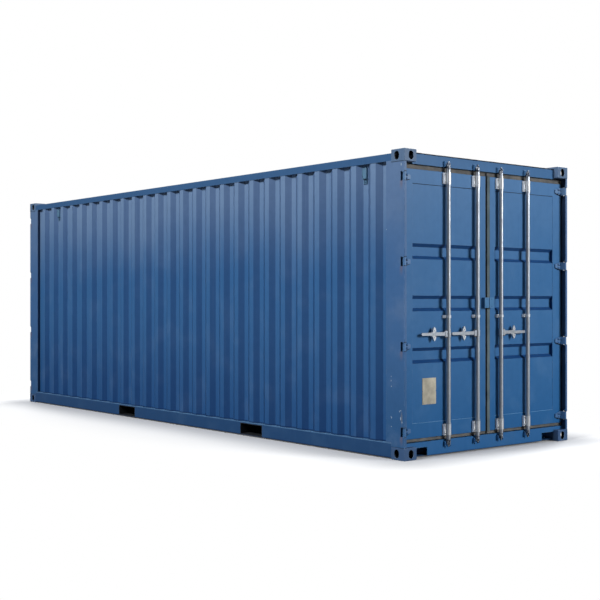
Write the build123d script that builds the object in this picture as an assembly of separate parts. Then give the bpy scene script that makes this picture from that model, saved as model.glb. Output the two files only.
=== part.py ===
from build123d import *
import os

# A steel shipping container with a pair of swing doors at each end.
# Millimetres. The origin is the middle of the footprint, on the ground; +X runs
# lengthwise to the front doors, -Y is the left side seen facing them, +Z is up.

# Driving dimensions
LENGTH = 7750
WIDTH = 2438
HEIGHT = 2896

# Sheet, plate and tube thicknesses
SHEET = 2
PLATE = 6
RAIL_WALL = 4.5
TUBE_WALL = 3
FLOOR_THICK = 28

# Running clearances
DOOR_GAP = 5
BEARING_GAP = 0.6
PIN_GAP = 0.3
OVERRUN = 20

# Corner castings
CASTING_LENGTH = 178
CASTING_WIDTH = 162
CASTING_HEIGHT = 118
CASTING_ROUND = 6
CASTING_SIDE_WALL = 16
CASTING_SEAT_WALL = 28
TOP_HOLE_LENGTH = 124
TOP_HOLE_WIDTH = 63.5
FACE_HOLE_WIDTH = 62
FACE_HOLE_HEIGHT = 82
SIDE_HOLE_FROM_END = 103
END_HOLE_FROM_SIDE = 88

# Rails along the sides
RAIL_INSET = 4
BOTTOM_RAIL_LOW = 12.5
BOTTOM_RAIL_HEIGHT = 142.5
BOTTOM_RAIL_FLANGE = 48
BOTTOM_RAIL_FOOT = 30
TOP_RAIL_DROP = 35
TOP_RAIL_HEIGHT = 68
TOP_RAIL_WIDTH = 60

# Corner posts: a lipped plate along the side and a box behind the door
POST_INSET = 2
POST_DEPTH = 243
POST_PLATE = 10
POST_LIP = 28
POST_BEND = 4
POST_WEB_GAP = 8
POST_BOX_WIDTH = 75
NOTCH_DEPTH = 50
NOTCH_GAP = 5

# Hinges
HINGE_COUNT = 4
HINGE_FROM_EDGE = 78.5
PIN_FROM_END = 17
PIN_CLEAR = 1.5
PIN_RADIUS = 7.5
PIN_HEAD_LIP = 1.2
PIN_HEAD = 5
KNUCKLE_WALL = 5.5
BLADE_HEIGHT = 80
BLADE_THICK = 12
BLADE_REACH = 116
BLADE_TIP = 34
LUG_THICK = 12

# Side wall corrugation
WALL_INSET = 8
RIB_PITCH = 275.6
RIB_FLAT = 72
RECESS_FLAT = 70
RIB_DEPTH = 36

# Roof
ROOF_RIB_PITCH = 209
ROOF_RIB_MARGIN = 94
ROOF_RIB_WIDTH = 139
ROOF_RIB_HEIGHT = 10
ROOF_RIB_ANGLE = 60

# Header, sill and the room behind their faces
END_FACE = 60
BEAM_DEPTH = 120
HEADER_DROP = 21
HEADER_HEIGHT = 108
SILL_LOW = 15
SILL_HEIGHT = 135
CUTOUT_WIDTH = 200
CUTOUT_HEIGHT = 83

# Floor and the members under it
FLOOR_DROP = 15
MEMBER_PITCH = 302
MEMBER_WIDTH = 45
MEMBER_WALL = 4
POCKET_SPACING = 2630
POCKET_SHIFT = 200
POCKET_WIDTH = 380
POCKET_WALL = 6

# Door leaves
LEAF_FACE = 67
LEAF_THICK = 50
LEAF_FROM_SIDE = 33
LEAF_FROM_SEAM = 19
SILL_REVEAL = 37
HEADER_REVEAL = 47
OUTER_STILE = 139
INNER_STILE = 101
TOP_MEMBER = 135
BOTTOM_MEMBER = 143
PANEL_INSET = 2
PANEL_RECESS_COUNT = 3
PANEL_RECESS_PITCH = 492
PANEL_RECESS_HEIGHT = 148
PANEL_RECESS_FLOOR = 84
PANEL_RECESS_DEPTH = 34
GASKET_INSET = 10
GASKET_THICK = 36
GASKET_SIDE_GAP = 5.5
GASKET_FROM_SEAM = 5
GASKET_GROOVE = 5

# Lock bars
BAR_RADIUS = 21
BAR_FROM_END = 30
BAR_PLACES = (594, 176)
CAM_OFFSET = 26
CAM_HEIGHT = 56
CAM_REACH = 23
CAM_THICK = 14
CAM_ARM = 7
CAM_STEM = 7
CAM_BULB = 7
KEEPER_GAP = 31
KEEPER_THICK = 6
KEEPER_FRONT = 34
KEEPER_HEIGHT = 56
KEEPER_CORNER = 10
BRACKET_HEIGHT = 107
BRACKET_WIDTH = 60
BRACKET_FROM_TOP = 8
BRACKET_FROM_LOW = 6
SLEEVE_WALL = 4
COLLAR_WALL = 3
COLLAR_HEIGHT = 14
COLLAR_GAP = 2
GUIDE_RISE = 165
GUIDE_HEIGHT = 25
GUIDE_WIDTH = 96

# Handles
HANDLE_LEVEL = 1166
HANDLE_TIP_GAP = 47
LEVER_ROOT = 36
LEVER_TIP = 26
LEVER_THICK = 10
HUB_RADIUS = 25
HUB_HEIGHT = 57
HUB_REACH = 52
HUB_THICK = 18
CATCH_PLACE = 196
CATCH_HEIGHT = 137
CATCH_WIDTH = 50
CATCH_THICK = 8
CATCH_GAP = 5
CATCH_HOLE = 6

# Small pieces on the doors and walls
PLATE_FROM_SIDE = 305
PLATE_WIDTH = 185
PLATE_LOW = 500
PLATE_HEIGHT = 250
PLATE_THICK = 3
PLATE_NOTCH = 5
LOCK_BOX_WIDTH = 138
LOCK_BOX_RISE = 246
LOCK_BOX_HEIGHT = 103
LOCK_BOX_DEPTH = 37
LOCK_BOX_WALL = 5
LOCK_BOX_GAP = 4
VENT_PLACE_SHARES = (0, 0.96)
VENT_DROP = 33
VENT_HEIGHT = 104
VENT_WIDTH = 60
VENT_DEPTH = 25

# Places worked out from the sizes above
END_X = LENGTH / 2
SIDE_Y = WIDTH / 2
CORNER = (Align.MIN, Align.MIN, Align.MIN)
BOTTOM_RAIL_TOP = BOTTOM_RAIL_LOW + BOTTOM_RAIL_HEIGHT
TOP_RAIL_TOP = HEIGHT - TOP_RAIL_DROP
TOP_RAIL_LOW = TOP_RAIL_TOP - TOP_RAIL_HEIGHT
HEADER_TOP = HEIGHT - HEADER_DROP
HEADER_LOW = HEADER_TOP - HEADER_HEIGHT
SILL_TOP = SILL_LOW + SILL_HEIGHT
FLOOR_LOW = BOTTOM_RAIL_TOP - FLOOR_DROP
LEAF_LOW = SILL_TOP + SILL_REVEAL
LEAF_TOP = HEADER_LOW - HEADER_REVEAL
LEAF_X = END_X - LEAF_FACE
LEAF_OUTER = LEAF_FROM_SIDE - SIDE_Y
LEAF_INNER = -LEAF_FROM_SEAM
POST_WEB = LEAF_FACE + LEAF_THICK + POST_WEB_GAP
PIN_HEAD_RADIUS = PIN_RADIUS + PIN_HEAD_LIP
KNUCKLE_RADIUS = PIN_RADIUS + KNUCKLE_WALL
PIN_X = END_X - PIN_FROM_END
PIN_Y = POST_INSET + POST_PLATE + PIN_RADIUS + PIN_CLEAR - SIDE_Y
LIP_THICK = PIN_FROM_END - PIN_HEAD_RADIUS - PIN_GAP - POST_INSET
NOTCH_HALF = BLADE_HEIGHT / 2 + NOTCH_GAP
HINGE_LOW = LEAF_LOW + HINGE_FROM_EDGE
HINGE_PITCH = (LEAF_TOP - HINGE_FROM_EDGE - HINGE_LOW) / (HINGE_COUNT - 1)
HINGE_LEVELS = [HINGE_LOW + index * HINGE_PITCH for index in range(HINGE_COUNT)]
BAR_X = END_X - BAR_FROM_END
BAR_LOW = (SILL_LOW + SILL_TOP) / 2 + CAM_OFFSET
BAR_TOP = (HEADER_LOW + HEADER_TOP) / 2 - CAM_OFFSET
TOP_BRACKET_LOW = LEAF_TOP - BRACKET_FROM_TOP - BRACKET_HEIGHT
LOW_BRACKET_LOW = LEAF_LOW + BRACKET_FROM_LOW
HANDLE_REACH = BAR_PLACES[0] - BAR_PLACES[1] - HANDLE_TIP_GAP
RIB_SLOPE = (RIB_PITCH - RIB_FLAT - RECESS_FLAT) / 2
WALL_START = POST_DEPTH + POST_INSET
RIB_COUNT = int((LENGTH - 2 * WALL_START - RIB_FLAT - 2 * RIB_SLOPE) / RIB_PITCH) + 1
FIRST_RIB = (LENGTH - (RIB_COUNT - 1) * RIB_PITCH - RIB_FLAT) / 2
POCKET_HALF = POCKET_WIDTH / 2 + POCKET_WALL
POCKET_PLACES = [END_X - POCKET_SHIFT + side * POCKET_SPACING / 2 for side in (-1, 1)]


def block(low, high):
    """A box between two opposite corners."""
    size = [top - bottom for bottom, top in zip(low, high)]
    return Pos(*low) * Box(*size, align=CORNER)


def upright(points, low, high):
    """A plan outline raised from one level to another."""
    return extrude(Pos(0, 0, low) * make_face(Polyline(*points, close=True)), high - low)


def crosswise(points, left, right):
    """An outline of (x, z) points carried along Y."""
    plane = Plane(origin=(0, right, 0), x_dir=(1, 0, 0), z_dir=(0, -1, 0))
    return extrude(plane * make_face(Polyline(*points, close=True)), right - left)


def lengthwise(points, back, front):
    """An outline of (y, z) points carried along X."""
    plane = Plane(origin=(back, 0, 0), x_dir=(0, 1, 0), z_dir=(1, 0, 0))
    return extrude(plane * make_face(Polyline(*points, close=True)), front - back)


def rod(x, y, low, high, radius):
    """An upright round bar."""
    return Pos(x, y, low) * Cylinder(radius, high - low, align=(Align.CENTER, Align.CENTER, Align.MIN))


def disc(y, z, radius, back, front):
    """A round plate facing the doors."""
    plane = Plane(origin=(back, y, z), x_dir=(0, 1, 0), z_dir=(1, 0, 0))
    return extrude(plane * Circle(radius), front - back)


def other_side(shape):
    """The same piece on the right side."""
    return mirror(shape, about=Plane.XZ)


def other_end(shape):
    """The same piece at the rear, turned about the middle of the container."""
    return Rot(0, 0, 180) * shape


# Corner castings

def casting(seat_up):
    """A hollow corner casting at the front left, its seat face up or down."""
    low = HEIGHT - CASTING_HEIGHT if seat_up else 0
    body = block(
        (END_X - CASTING_LENGTH, -SIDE_Y, low),
        (END_X, CASTING_WIDTH - SIDE_Y, low + CASTING_HEIGHT),
    )
    body = fillet(body.edges(), CASTING_ROUND)
    seat_wall_low = CASTING_SIDE_WALL if seat_up else CASTING_SEAT_WALL
    seat_wall_top = CASTING_SEAT_WALL if seat_up else CASTING_SIDE_WALL
    cavity = block(
        (END_X - CASTING_LENGTH + CASTING_SIDE_WALL, CASTING_SIDE_WALL - SIDE_Y, low + seat_wall_low),
        (END_X - CASTING_SIDE_WALL, CASTING_WIDTH - CASTING_SIDE_WALL - SIDE_Y,
         low + CASTING_HEIGHT - seat_wall_top),
    )
    middle_x = END_X - CASTING_LENGTH / 2
    middle_y = CASTING_WIDTH / 2 - SIDE_Y
    seat_level = low + CASTING_HEIGHT - CASTING_SEAT_WALL - OVERRUN if seat_up else low - OVERRUN
    seat_hole = Pos(middle_x, middle_y, seat_level) * extrude(
        SlotOverall(TOP_HOLE_LENGTH, TOP_HOLE_WIDTH), CASTING_SEAT_WALL + 2 * OVERRUN
    )
    middle_z = low + CASTING_HEIGHT / 2
    upright_slot = SlotOverall(FACE_HOLE_HEIGHT, FACE_HOLE_WIDTH, rotation=90)
    side_plane = Plane(
        origin=(END_X - SIDE_HOLE_FROM_END, CASTING_SIDE_WALL + OVERRUN / 2 - SIDE_Y, middle_z),
        x_dir=(1, 0, 0),
        z_dir=(0, -1, 0),
    )
    side_hole = extrude(side_plane * upright_slot, CASTING_SIDE_WALL + OVERRUN)
    end_plane = Plane(
        origin=(END_X - CASTING_SIDE_WALL - OVERRUN / 2, END_HOLE_FROM_SIDE - SIDE_Y, middle_z),
        x_dir=(0, 1, 0),
        z_dir=(1, 0, 0),
    )
    end_hole = extrude(end_plane * upright_slot, CASTING_SIDE_WALL + OVERRUN)
    return body - cavity - seat_hole - side_hole - end_hole


def casting_set(seat_up):
    """The same casting at the four corners."""
    front_left = casting(seat_up)
    front_right = other_side(front_left)
    return [front_left, front_right, other_end(front_left), other_end(front_right)]


# Rails

def bottom_rail():
    """The left bottom side rail, a channel open to the inside, cut for the fork pockets."""
    outer = RAIL_INSET - SIDE_Y
    web = outer + RAIL_WALL
    outline = [
        (outer, BOTTOM_RAIL_LOW),
        (outer + BOTTOM_RAIL_FOOT, BOTTOM_RAIL_LOW),
        (outer + BOTTOM_RAIL_FOOT, BOTTOM_RAIL_LOW + RAIL_WALL),
        (web, BOTTOM_RAIL_LOW + RAIL_WALL),
        (web, BOTTOM_RAIL_TOP - RAIL_WALL),
        (outer + BOTTOM_RAIL_FLANGE, BOTTOM_RAIL_TOP - RAIL_WALL),
        (outer + BOTTOM_RAIL_FLANGE, BOTTOM_RAIL_TOP),
        (outer, BOTTOM_RAIL_TOP),
    ]
    half = END_X - CASTING_LENGTH
    rail = lengthwise(outline, -half, half)
    for place in POCKET_PLACES:
        x = END_X - place
        rail -= block(
            (x - POCKET_HALF, -SIDE_Y, BOTTOM_RAIL_LOW + RAIL_WALL),
            (x + POCKET_HALF, web + RAIL_WALL, FLOOR_LOW),
        )
    return rail


def top_rail():
    """The left top side rail, a square tube between the castings."""
    outer = RAIL_INSET - SIDE_Y
    half = END_X - CASTING_LENGTH
    tube = block((-half, outer, TOP_RAIL_LOW), (half, outer + TOP_RAIL_WIDTH, TOP_RAIL_TOP))
    bore = block(
        (-half - OVERRUN, outer + TUBE_WALL, TOP_RAIL_LOW + TUBE_WALL),
        (half + OVERRUN, outer + TOP_RAIL_WIDTH - TUBE_WALL, TOP_RAIL_TOP - TUBE_WALL),
    )
    return tube - bore


# Side walls

def wall_outline():
    """The outer line of the corrugated wall, from the rear post to the front post."""
    flat = WALL_INSET - SIDE_Y
    deep = flat + RIB_DEPTH
    start = WALL_START - END_X
    points = [(start, deep)]
    for index in range(RIB_COUNT):
        rib = FIRST_RIB - END_X + index * RIB_PITCH
        points.append((rib - RIB_SLOPE, deep))
        points.append((rib, flat))
        points.append((rib + RIB_FLAT, flat))
        points.append((rib + RIB_FLAT + RIB_SLOPE, deep))
    points.append((-start, deep))
    return points


def side_wall():
    """The left side wall, one corrugated sheet between the rails and posts."""
    outer = wall_outline()
    inner = [(x, y + SHEET) for x, y in reversed(outer)]
    return upright(outer + inner, BOTTOM_RAIL_TOP, TOP_RAIL_LOW)


def vent(share):
    """A ventilator hood seated in one recess of the left wall, at a share of their row."""
    recess = round(share * (RIB_COUNT - 2))
    back = WALL_INSET + RIB_DEPTH - SIDE_Y
    x = END_X - FIRST_RIB - RIB_FLAT - RIB_SLOPE - RECESS_FLAT / 2 - recess * RIB_PITCH
    top = TOP_RAIL_LOW - VENT_DROP
    return block(
        (x - VENT_WIDTH / 2, back - VENT_DEPTH, top - VENT_HEIGHT),
        (x + VENT_WIDTH / 2, back, top),
    )


# Roof

def roof():
    """The roof sheet with pressed cross ribs, lying on the top rails."""
    reach = END_X - END_FACE - BEAM_DEPTH
    edge = SIDE_Y - RAIL_INSET
    rib_length = WIDTH - 2 * ROOF_RIB_MARGIN
    sheet = block((-reach, -edge, TOP_RAIL_TOP), (reach, edge, TOP_RAIL_TOP + SHEET))
    count = int(2 * (reach - ROOF_RIB_WIDTH) / ROOF_RIB_PITCH)
    raised = []
    hollow = []
    for index in range(count):
        x = (index - (count - 1) / 2) * ROOF_RIB_PITCH
        outer = Rectangle(ROOF_RIB_WIDTH, rib_length)
        inner = Rectangle(ROOF_RIB_WIDTH - 2 * SHEET, rib_length - 2 * SHEET)
        raised.append(
            Pos(x, 0, TOP_RAIL_TOP + SHEET) * extrude(outer, ROOF_RIB_HEIGHT, taper=ROOF_RIB_ANGLE)
        )
        hollow.append(Pos(x, 0, TOP_RAIL_TOP) * extrude(inner, ROOF_RIB_HEIGHT, taper=ROOF_RIB_ANGLE))
    return sheet + raised - hollow


# Corner posts and hinge pins

def post():
    """The front left corner post with its hinge lugs and cut-outs."""
    face = END_X - POST_INSET
    outer = POST_INSET - SIDE_Y
    plate_inner = outer + POST_PLATE
    web = END_X - POST_WEB
    back = face - POST_DEPTH
    box_inner = outer + POST_BOX_WIDTH
    body = block((back, outer, CASTING_HEIGHT), (web, box_inner, HEIGHT))
    body -= block(
        (back + PLATE, plate_inner, 0),
        (web - PLATE, box_inner - PLATE, HEIGHT + OVERRUN),
    )
    lipped = [
        (web, outer),
        (face - POST_BEND, outer),
        (face, outer + POST_BEND),
        (face, outer + POST_LIP),
        (face - LIP_THICK, outer + POST_LIP),
        (face - LIP_THICK, plate_inner),
        (web, plate_inner),
    ]
    body += upright(lipped, CASTING_HEIGHT, HEIGHT)
    casting_back = END_X - CASTING_LENGTH
    body -= block((casting_back, -SIDE_Y, HEIGHT - CASTING_HEIGHT), (END_X, 0, HEIGHT + OVERRUN))
    body -= block((back - OVERRUN, -SIDE_Y, TOP_RAIL_LOW), (casting_back, 0, HEIGHT + OVERRUN))
    body -= block((back - OVERRUN, -SIDE_Y, 0), (casting_back, 0, BOTTOM_RAIL_TOP))
    for level in HINGE_LEVELS:
        body -= block(
            (face - NOTCH_DEPTH, -SIDE_Y, level - NOTCH_HALF),
            (END_X, outer + POST_LIP, level + NOTCH_HALF),
        )
        body += hinge_lug(level + NOTCH_HALF)
        body += hinge_lug(level - NOTCH_HALF - LUG_THICK)
    return body


def hinge_lug(low):
    """One lug on the inside of the post plate, bored for the pin."""
    lug = rod(PIN_X, PIN_Y, low, low + LUG_THICK, KNUCKLE_RADIUS)
    plate_inner = POST_INSET + POST_PLATE - SIDE_Y
    lug += block(
        (PIN_X - KNUCKLE_RADIUS, plate_inner, low),
        (PIN_X + KNUCKLE_RADIUS, PIN_Y, low + LUG_THICK),
    )
    bore = rod(PIN_X, PIN_Y, low - OVERRUN, low + LUG_THICK + OVERRUN, PIN_RADIUS + PIN_GAP)
    return lug - bore - block(
        (PIN_X - OVERRUN, -SIDE_Y, low - OVERRUN),
        (PIN_X + OVERRUN, plate_inner, low + LUG_THICK + OVERRUN),
    )


def hinge_pin(level):
    """A headed hinge pin through both lugs."""
    low = level - NOTCH_HALF - LUG_THICK
    top = level + NOTCH_HALF + LUG_THICK
    return rod(PIN_X, PIN_Y, low, top, PIN_RADIUS) + rod(PIN_X, PIN_Y, top, top + PIN_HEAD, PIN_HEAD_RADIUS)


def pin_set():
    """The pins of all four posts."""
    left = [hinge_pin(level) for level in HINGE_LEVELS]
    front = left + [other_side(pin) for pin in left]
    return front + [other_end(pin) for pin in front]


# End frames

def keepers(level):
    """The cheeks that hold the cams of the four bars at one end of the bars."""
    back = END_X - END_FACE
    front = END_X - KEEPER_FRONT
    low = level - KEEPER_HEIGHT / 2
    top = level + KEEPER_HEIGHT / 2
    outline = [
        (back, low),
        (front - KEEPER_CORNER, low),
        (front, low + KEEPER_CORNER),
        (front, top - KEEPER_CORNER),
        (front - KEEPER_CORNER, top),
        (back, top),
    ]
    cheeks = []
    for place in BAR_PLACES:
        for middle in (-place, place):
            for edge in (middle - KEEPER_GAP - KEEPER_THICK, middle + KEEPER_GAP):
                cheeks.append(crosswise(outline, edge, edge + KEEPER_THICK))
    return cheeks


def keeper_set():
    """The cheeks on the header and on the sill."""
    return keepers(BAR_TOP) + keepers(BAR_LOW)


def end_beam(low, top):
    """A hollow beam between two castings."""
    edge = SIDE_Y - CASTING_WIDTH
    front = END_X - END_FACE
    back = END_X - END_FACE - BEAM_DEPTH
    beam = block((back, -edge, low), (front, edge, top))
    beam -= block(
        (back + RAIL_WALL, -edge - OVERRUN, low + RAIL_WALL),
        (front - RAIL_WALL, edge + OVERRUN, top - RAIL_WALL),
    )
    return beam


def sill_end():
    """The left end of the sill, an angle that runs on over the casting to the post."""
    outer = POST_INSET + POST_PLATE - SIDE_Y
    inner = CASTING_WIDTH - SIDE_Y
    back = END_X - POST_WEB
    front = END_X - END_FACE
    angle = block((back, outer, CASTING_HEIGHT), (front, inner, SILL_TOP))
    return angle - block(
        (back - OVERRUN, outer, CASTING_HEIGHT - OVERRUN),
        (front - RAIL_WALL, inner, SILL_TOP - RAIL_WALL),
    )


def sill():
    """The beam under the doors, cut away beside the castings."""
    left_end = sill_end()
    beam = end_beam(SILL_LOW, SILL_TOP) + left_end + other_side(left_end)
    edge = SIDE_Y - CASTING_WIDTH
    front = END_X - END_FACE
    for left in (-edge, edge - CUTOUT_WIDTH):
        beam -= block(
            (front - RAIL_WALL - OVERRUN, left, SILL_LOW - OVERRUN),
            (front + OVERRUN, left + CUTOUT_WIDTH, SILL_LOW + CUTOUT_HEIGHT),
        )
    return beam


# Floor

def fork_pocket(place):
    """One tunnel across the container for the forks of a lift truck."""
    x = END_X - place
    edge = SIDE_Y - RAIL_INSET
    low = BOTTOM_RAIL_LOW + RAIL_WALL
    tunnel = block((x - POCKET_HALF, -edge, low), (x + POCKET_HALF, edge, FLOOR_LOW))
    return tunnel - block(
        (x - POCKET_WIDTH / 2, -edge - OVERRUN, low + POCKET_WALL),
        (x + POCKET_WIDTH / 2, edge + OVERRUN, FLOOR_LOW - POCKET_WALL),
    )


def cross_member(x):
    """A channel across the floor, open towards the rear."""
    low = BOTTOM_RAIL_LOW + RAIL_WALL
    left = x - MEMBER_WIDTH / 2
    right = x + MEMBER_WIDTH / 2
    outline = [
        (left, low),
        (right, low),
        (right, FLOOR_LOW),
        (left, FLOOR_LOW),
        (left, FLOOR_LOW - MEMBER_WALL),
        (right - MEMBER_WALL, FLOOR_LOW - MEMBER_WALL),
        (right - MEMBER_WALL, low + MEMBER_WALL),
        (left, low + MEMBER_WALL),
    ]
    edge = SIDE_Y - RAIL_INSET - RAIL_WALL
    return crosswise(outline, -edge, edge)


def cross_members():
    """The members at an even pitch, left out where a fork pocket runs."""
    reach = END_X - END_FACE - BEAM_DEPTH - MEMBER_WIDTH
    count = int(2 * reach / MEMBER_PITCH)
    members = []
    for index in range(count + 1):
        x = (index - count / 2) * MEMBER_PITCH
        distances = [abs(x - END_X + place) for place in POCKET_PLACES]
        if min(distances) > POCKET_HALF + MEMBER_WIDTH:
            members.append(cross_member(x))
    return members


def floor_boards():
    """The plywood deck, notched for the corner posts."""
    reach = END_X - END_FACE - BEAM_DEPTH
    edge = SIDE_Y - RAIL_INSET - BOTTOM_RAIL_FLANGE
    deck = block((-reach, -edge, FLOOR_LOW), (reach, edge, FLOOR_LOW + FLOOR_THICK))
    post_edge = SIDE_Y - POST_INSET - POST_BOX_WIDTH - PIN_GAP
    post_back = END_X - POST_INSET - POST_DEPTH - PIN_GAP
    notch = block((post_back, -SIDE_Y, 0), (END_X, -post_edge, HEIGHT))
    notches = [notch, other_side(notch), other_end(notch), other_end(other_side(notch))]
    return deck - notches


# Door leaves, all built as the left leaf at the front

def leaf_frame():
    """Two tube stiles and two channels, welded into one frame."""
    back = LEAF_X - LEAF_THICK
    frame = stile(LEAF_OUTER, LEAF_OUTER + OUTER_STILE) + stile(LEAF_INNER - INNER_STILE, LEAF_INNER)
    for low, top in ((LEAF_LOW, LEAF_LOW + BOTTOM_MEMBER), (LEAF_TOP - TOP_MEMBER, LEAF_TOP)):
        outline = [
            (back, low),
            (LEAF_X, low),
            (LEAF_X, top),
            (back, top),
            (back, top - TUBE_WALL),
            (LEAF_X - TUBE_WALL, top - TUBE_WALL),
            (LEAF_X - TUBE_WALL, low + TUBE_WALL),
            (back, low + TUBE_WALL),
        ]
        frame += crosswise(outline, LEAF_OUTER + OUTER_STILE, LEAF_INNER - INNER_STILE)
    return frame


def stile(left, right):
    """An upright tube of the leaf frame."""
    back = LEAF_X - LEAF_THICK
    tube = block((back, left, LEAF_LOW), (LEAF_X, right, LEAF_TOP))
    return tube - block(
        (back + TUBE_WALL, left + TUBE_WALL, LEAF_LOW - OVERRUN),
        (LEAF_X - TUBE_WALL, right - TUBE_WALL, LEAF_TOP + OVERRUN),
    )


def leaf_panel():
    """The pressed sheet inside the frame, with its cross recesses."""
    face = LEAF_X - PANEL_INSET
    deep = face - PANEL_RECESS_DEPTH
    low = LEAF_LOW + BOTTOM_MEMBER
    top = LEAF_TOP - TOP_MEMBER
    middle = (low + top) / 2
    line = [(face, low)]
    for index in range(PANEL_RECESS_COUNT):
        level = middle + (index - (PANEL_RECESS_COUNT - 1) / 2) * PANEL_RECESS_PITCH
        line.append((face, level - PANEL_RECESS_HEIGHT / 2))
        line.append((deep, level - PANEL_RECESS_FLOOR / 2))
        line.append((deep, level + PANEL_RECESS_FLOOR / 2))
        line.append((face, level + PANEL_RECESS_HEIGHT / 2))
    line.append((face, top))
    back = [(x - SHEET, z) for x, z in reversed(line)]
    return crosswise(line + back, LEAF_OUTER + OUTER_STILE, LEAF_INNER - INNER_STILE)


def leaf_gasket():
    """The rubber seal round the leaf."""
    front = LEAF_X - GASKET_INSET
    back = front - GASKET_THICK
    side = POST_INSET + POST_PLATE + GASKET_SIDE_GAP - SIDE_Y
    ring = block(
        (back, side, SILL_TOP + DOOR_GAP),
        (front, -GASKET_FROM_SEAM, HEADER_LOW - DOOR_GAP),
    )
    ring -= block(
        (front - GASKET_GROOVE, LEAF_OUTER - GASKET_GROOVE, LEAF_LOW - GASKET_GROOVE),
        (front + OVERRUN, LEAF_INNER + GASKET_GROOVE, LEAF_TOP + GASKET_GROOVE),
    )
    return ring - block(
        (back - OVERRUN, LEAF_OUTER, LEAF_LOW),
        (front + OVERRUN, LEAF_INNER, LEAF_TOP),
    )


def hinge_blade(level):
    """A hinge blade: a plate on the leaf face, cranked to the knuckle round the pin."""
    low = level - BLADE_HEIGHT / 2
    top = level + BLADE_HEIGHT / 2
    plate_front = LEAF_X + BLADE_THICK
    outline = [
        (LEAF_X, LEAF_OUTER),
        (LEAF_X, PIN_Y + BLADE_REACH),
        (plate_front, PIN_Y + BLADE_REACH),
        (plate_front, LEAF_OUTER + BLADE_THICK),
        (PIN_X, PIN_Y + KNUCKLE_RADIUS),
        (PIN_X - KNUCKLE_RADIUS, PIN_Y),
    ]
    tapered = [
        (-SIDE_Y, low),
        (LEAF_OUTER + BLADE_THICK, low),
        (PIN_Y + BLADE_REACH, level - BLADE_TIP / 2),
        (PIN_Y + BLADE_REACH, level + BLADE_TIP / 2),
        (LEAF_OUTER + BLADE_THICK, top),
        (-SIDE_Y, top),
    ]
    blade = upright(outline, low, top) & lengthwise(tapered, LEAF_X - OVERRUN, END_X)
    blade += rod(PIN_X, PIN_Y, low, top, KNUCKLE_RADIUS)
    return blade - rod(PIN_X, PIN_Y, low - OVERRUN, top + OVERRUN, PIN_RADIUS + PIN_GAP)


def bracket(y, low, height, width, seat):
    """A base plate on the leaf with a sleeve round the bar."""
    inner = BAR_RADIUS + BEARING_GAP
    outer = inner + SLEEVE_WALL
    piece = block((seat, y - width / 2, low), (seat + PLATE, y + width / 2, low + height))
    piece += rod(BAR_X, y, low, low + height, outer)
    piece += block((seat, y - BAR_RADIUS, low), (BAR_X, y + BAR_RADIUS, low + height))
    return piece - rod(BAR_X, y, low - OVERRUN, low + height + OVERRUN, inner)


def handle_catch(y):
    """The pointed cradle behind a handle lever, on a foot that holds it off the leaf."""
    back = BAR_X - LEVER_THICK / 2 - CATCH_GAP - CATCH_THICK
    front = BAR_X + LEVER_THICK / 2
    arc = (CATCH_HEIGHT ** 2 + CATCH_WIDTH ** 2) / (4 * CATCH_WIDTH)
    shift = arc - CATCH_WIDTH / 2
    cradle = disc(y - shift, HANDLE_LEVEL, arc, back, front) & disc(y + shift, HANDLE_LEVEL, arc, back, front)
    slot = LEVER_ROOT / 2 + CATCH_GAP
    cradle -= block(
        (back + CATCH_THICK, y - CATCH_WIDTH, HANDLE_LEVEL - slot),
        (END_X, y + CATCH_WIDTH, HANDLE_LEVEL + slot),
    )
    for side in (-1, 1):
        level = HANDLE_LEVEL + side * (slot + 2 * CATCH_HOLE)
        cradle -= disc(y, level, CATCH_HOLE, back - OVERRUN, front + OVERRUN)
    return cradle + block(
        (LEAF_X - PANEL_INSET, y - CATCH_WIDTH / 4, HANDLE_LEVEL - slot),
        (back, y + CATCH_WIDTH / 4, HANDLE_LEVEL + slot),
    )


def leaf_fittings(catches):
    """Blades, brackets, guides and handle catches of a left leaf."""
    pieces = [hinge_blade(level) for level in HINGE_LEVELS]
    guide_low = HANDLE_LEVEL + GUIDE_RISE - GUIDE_HEIGHT / 2
    for place in BAR_PLACES:
        for low in (TOP_BRACKET_LOW, LOW_BRACKET_LOW):
            pieces.append(bracket(-place, low, BRACKET_HEIGHT, BRACKET_WIDTH, LEAF_X))
        pieces.append(bracket(-place, guide_low, GUIDE_HEIGHT, GUIDE_WIDTH, LEAF_X - PANEL_INSET))
    return pieces + [handle_catch(y) for y in catches]


def cam(y, level, side):
    """A forked cam head; side is 1 at the top of the bar and -1 at its foot."""
    back = BAR_X - CAM_THICK / 2
    front = BAR_X + CAM_THICK / 2
    fork = disc(y, level, CAM_REACH, back, front) - disc(y, level, CAM_REACH - CAM_ARM, back, front)
    horn = level + side * CAM_ARM
    tip = level + side * CAM_HEIGHT / 2
    fork -= block((back, y - CAM_REACH, min(horn, tip)), (front, y + CAM_REACH, max(horn, tip)))
    root = level - side * CAM_REACH
    bulb = tip - side * CAM_BULB
    fork += block((back, y - CAM_STEM / 2, min(root, bulb)), (front, y + CAM_STEM / 2, max(root, bulb)))
    return fork + disc(y, bulb, CAM_BULB, back, front)


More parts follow.
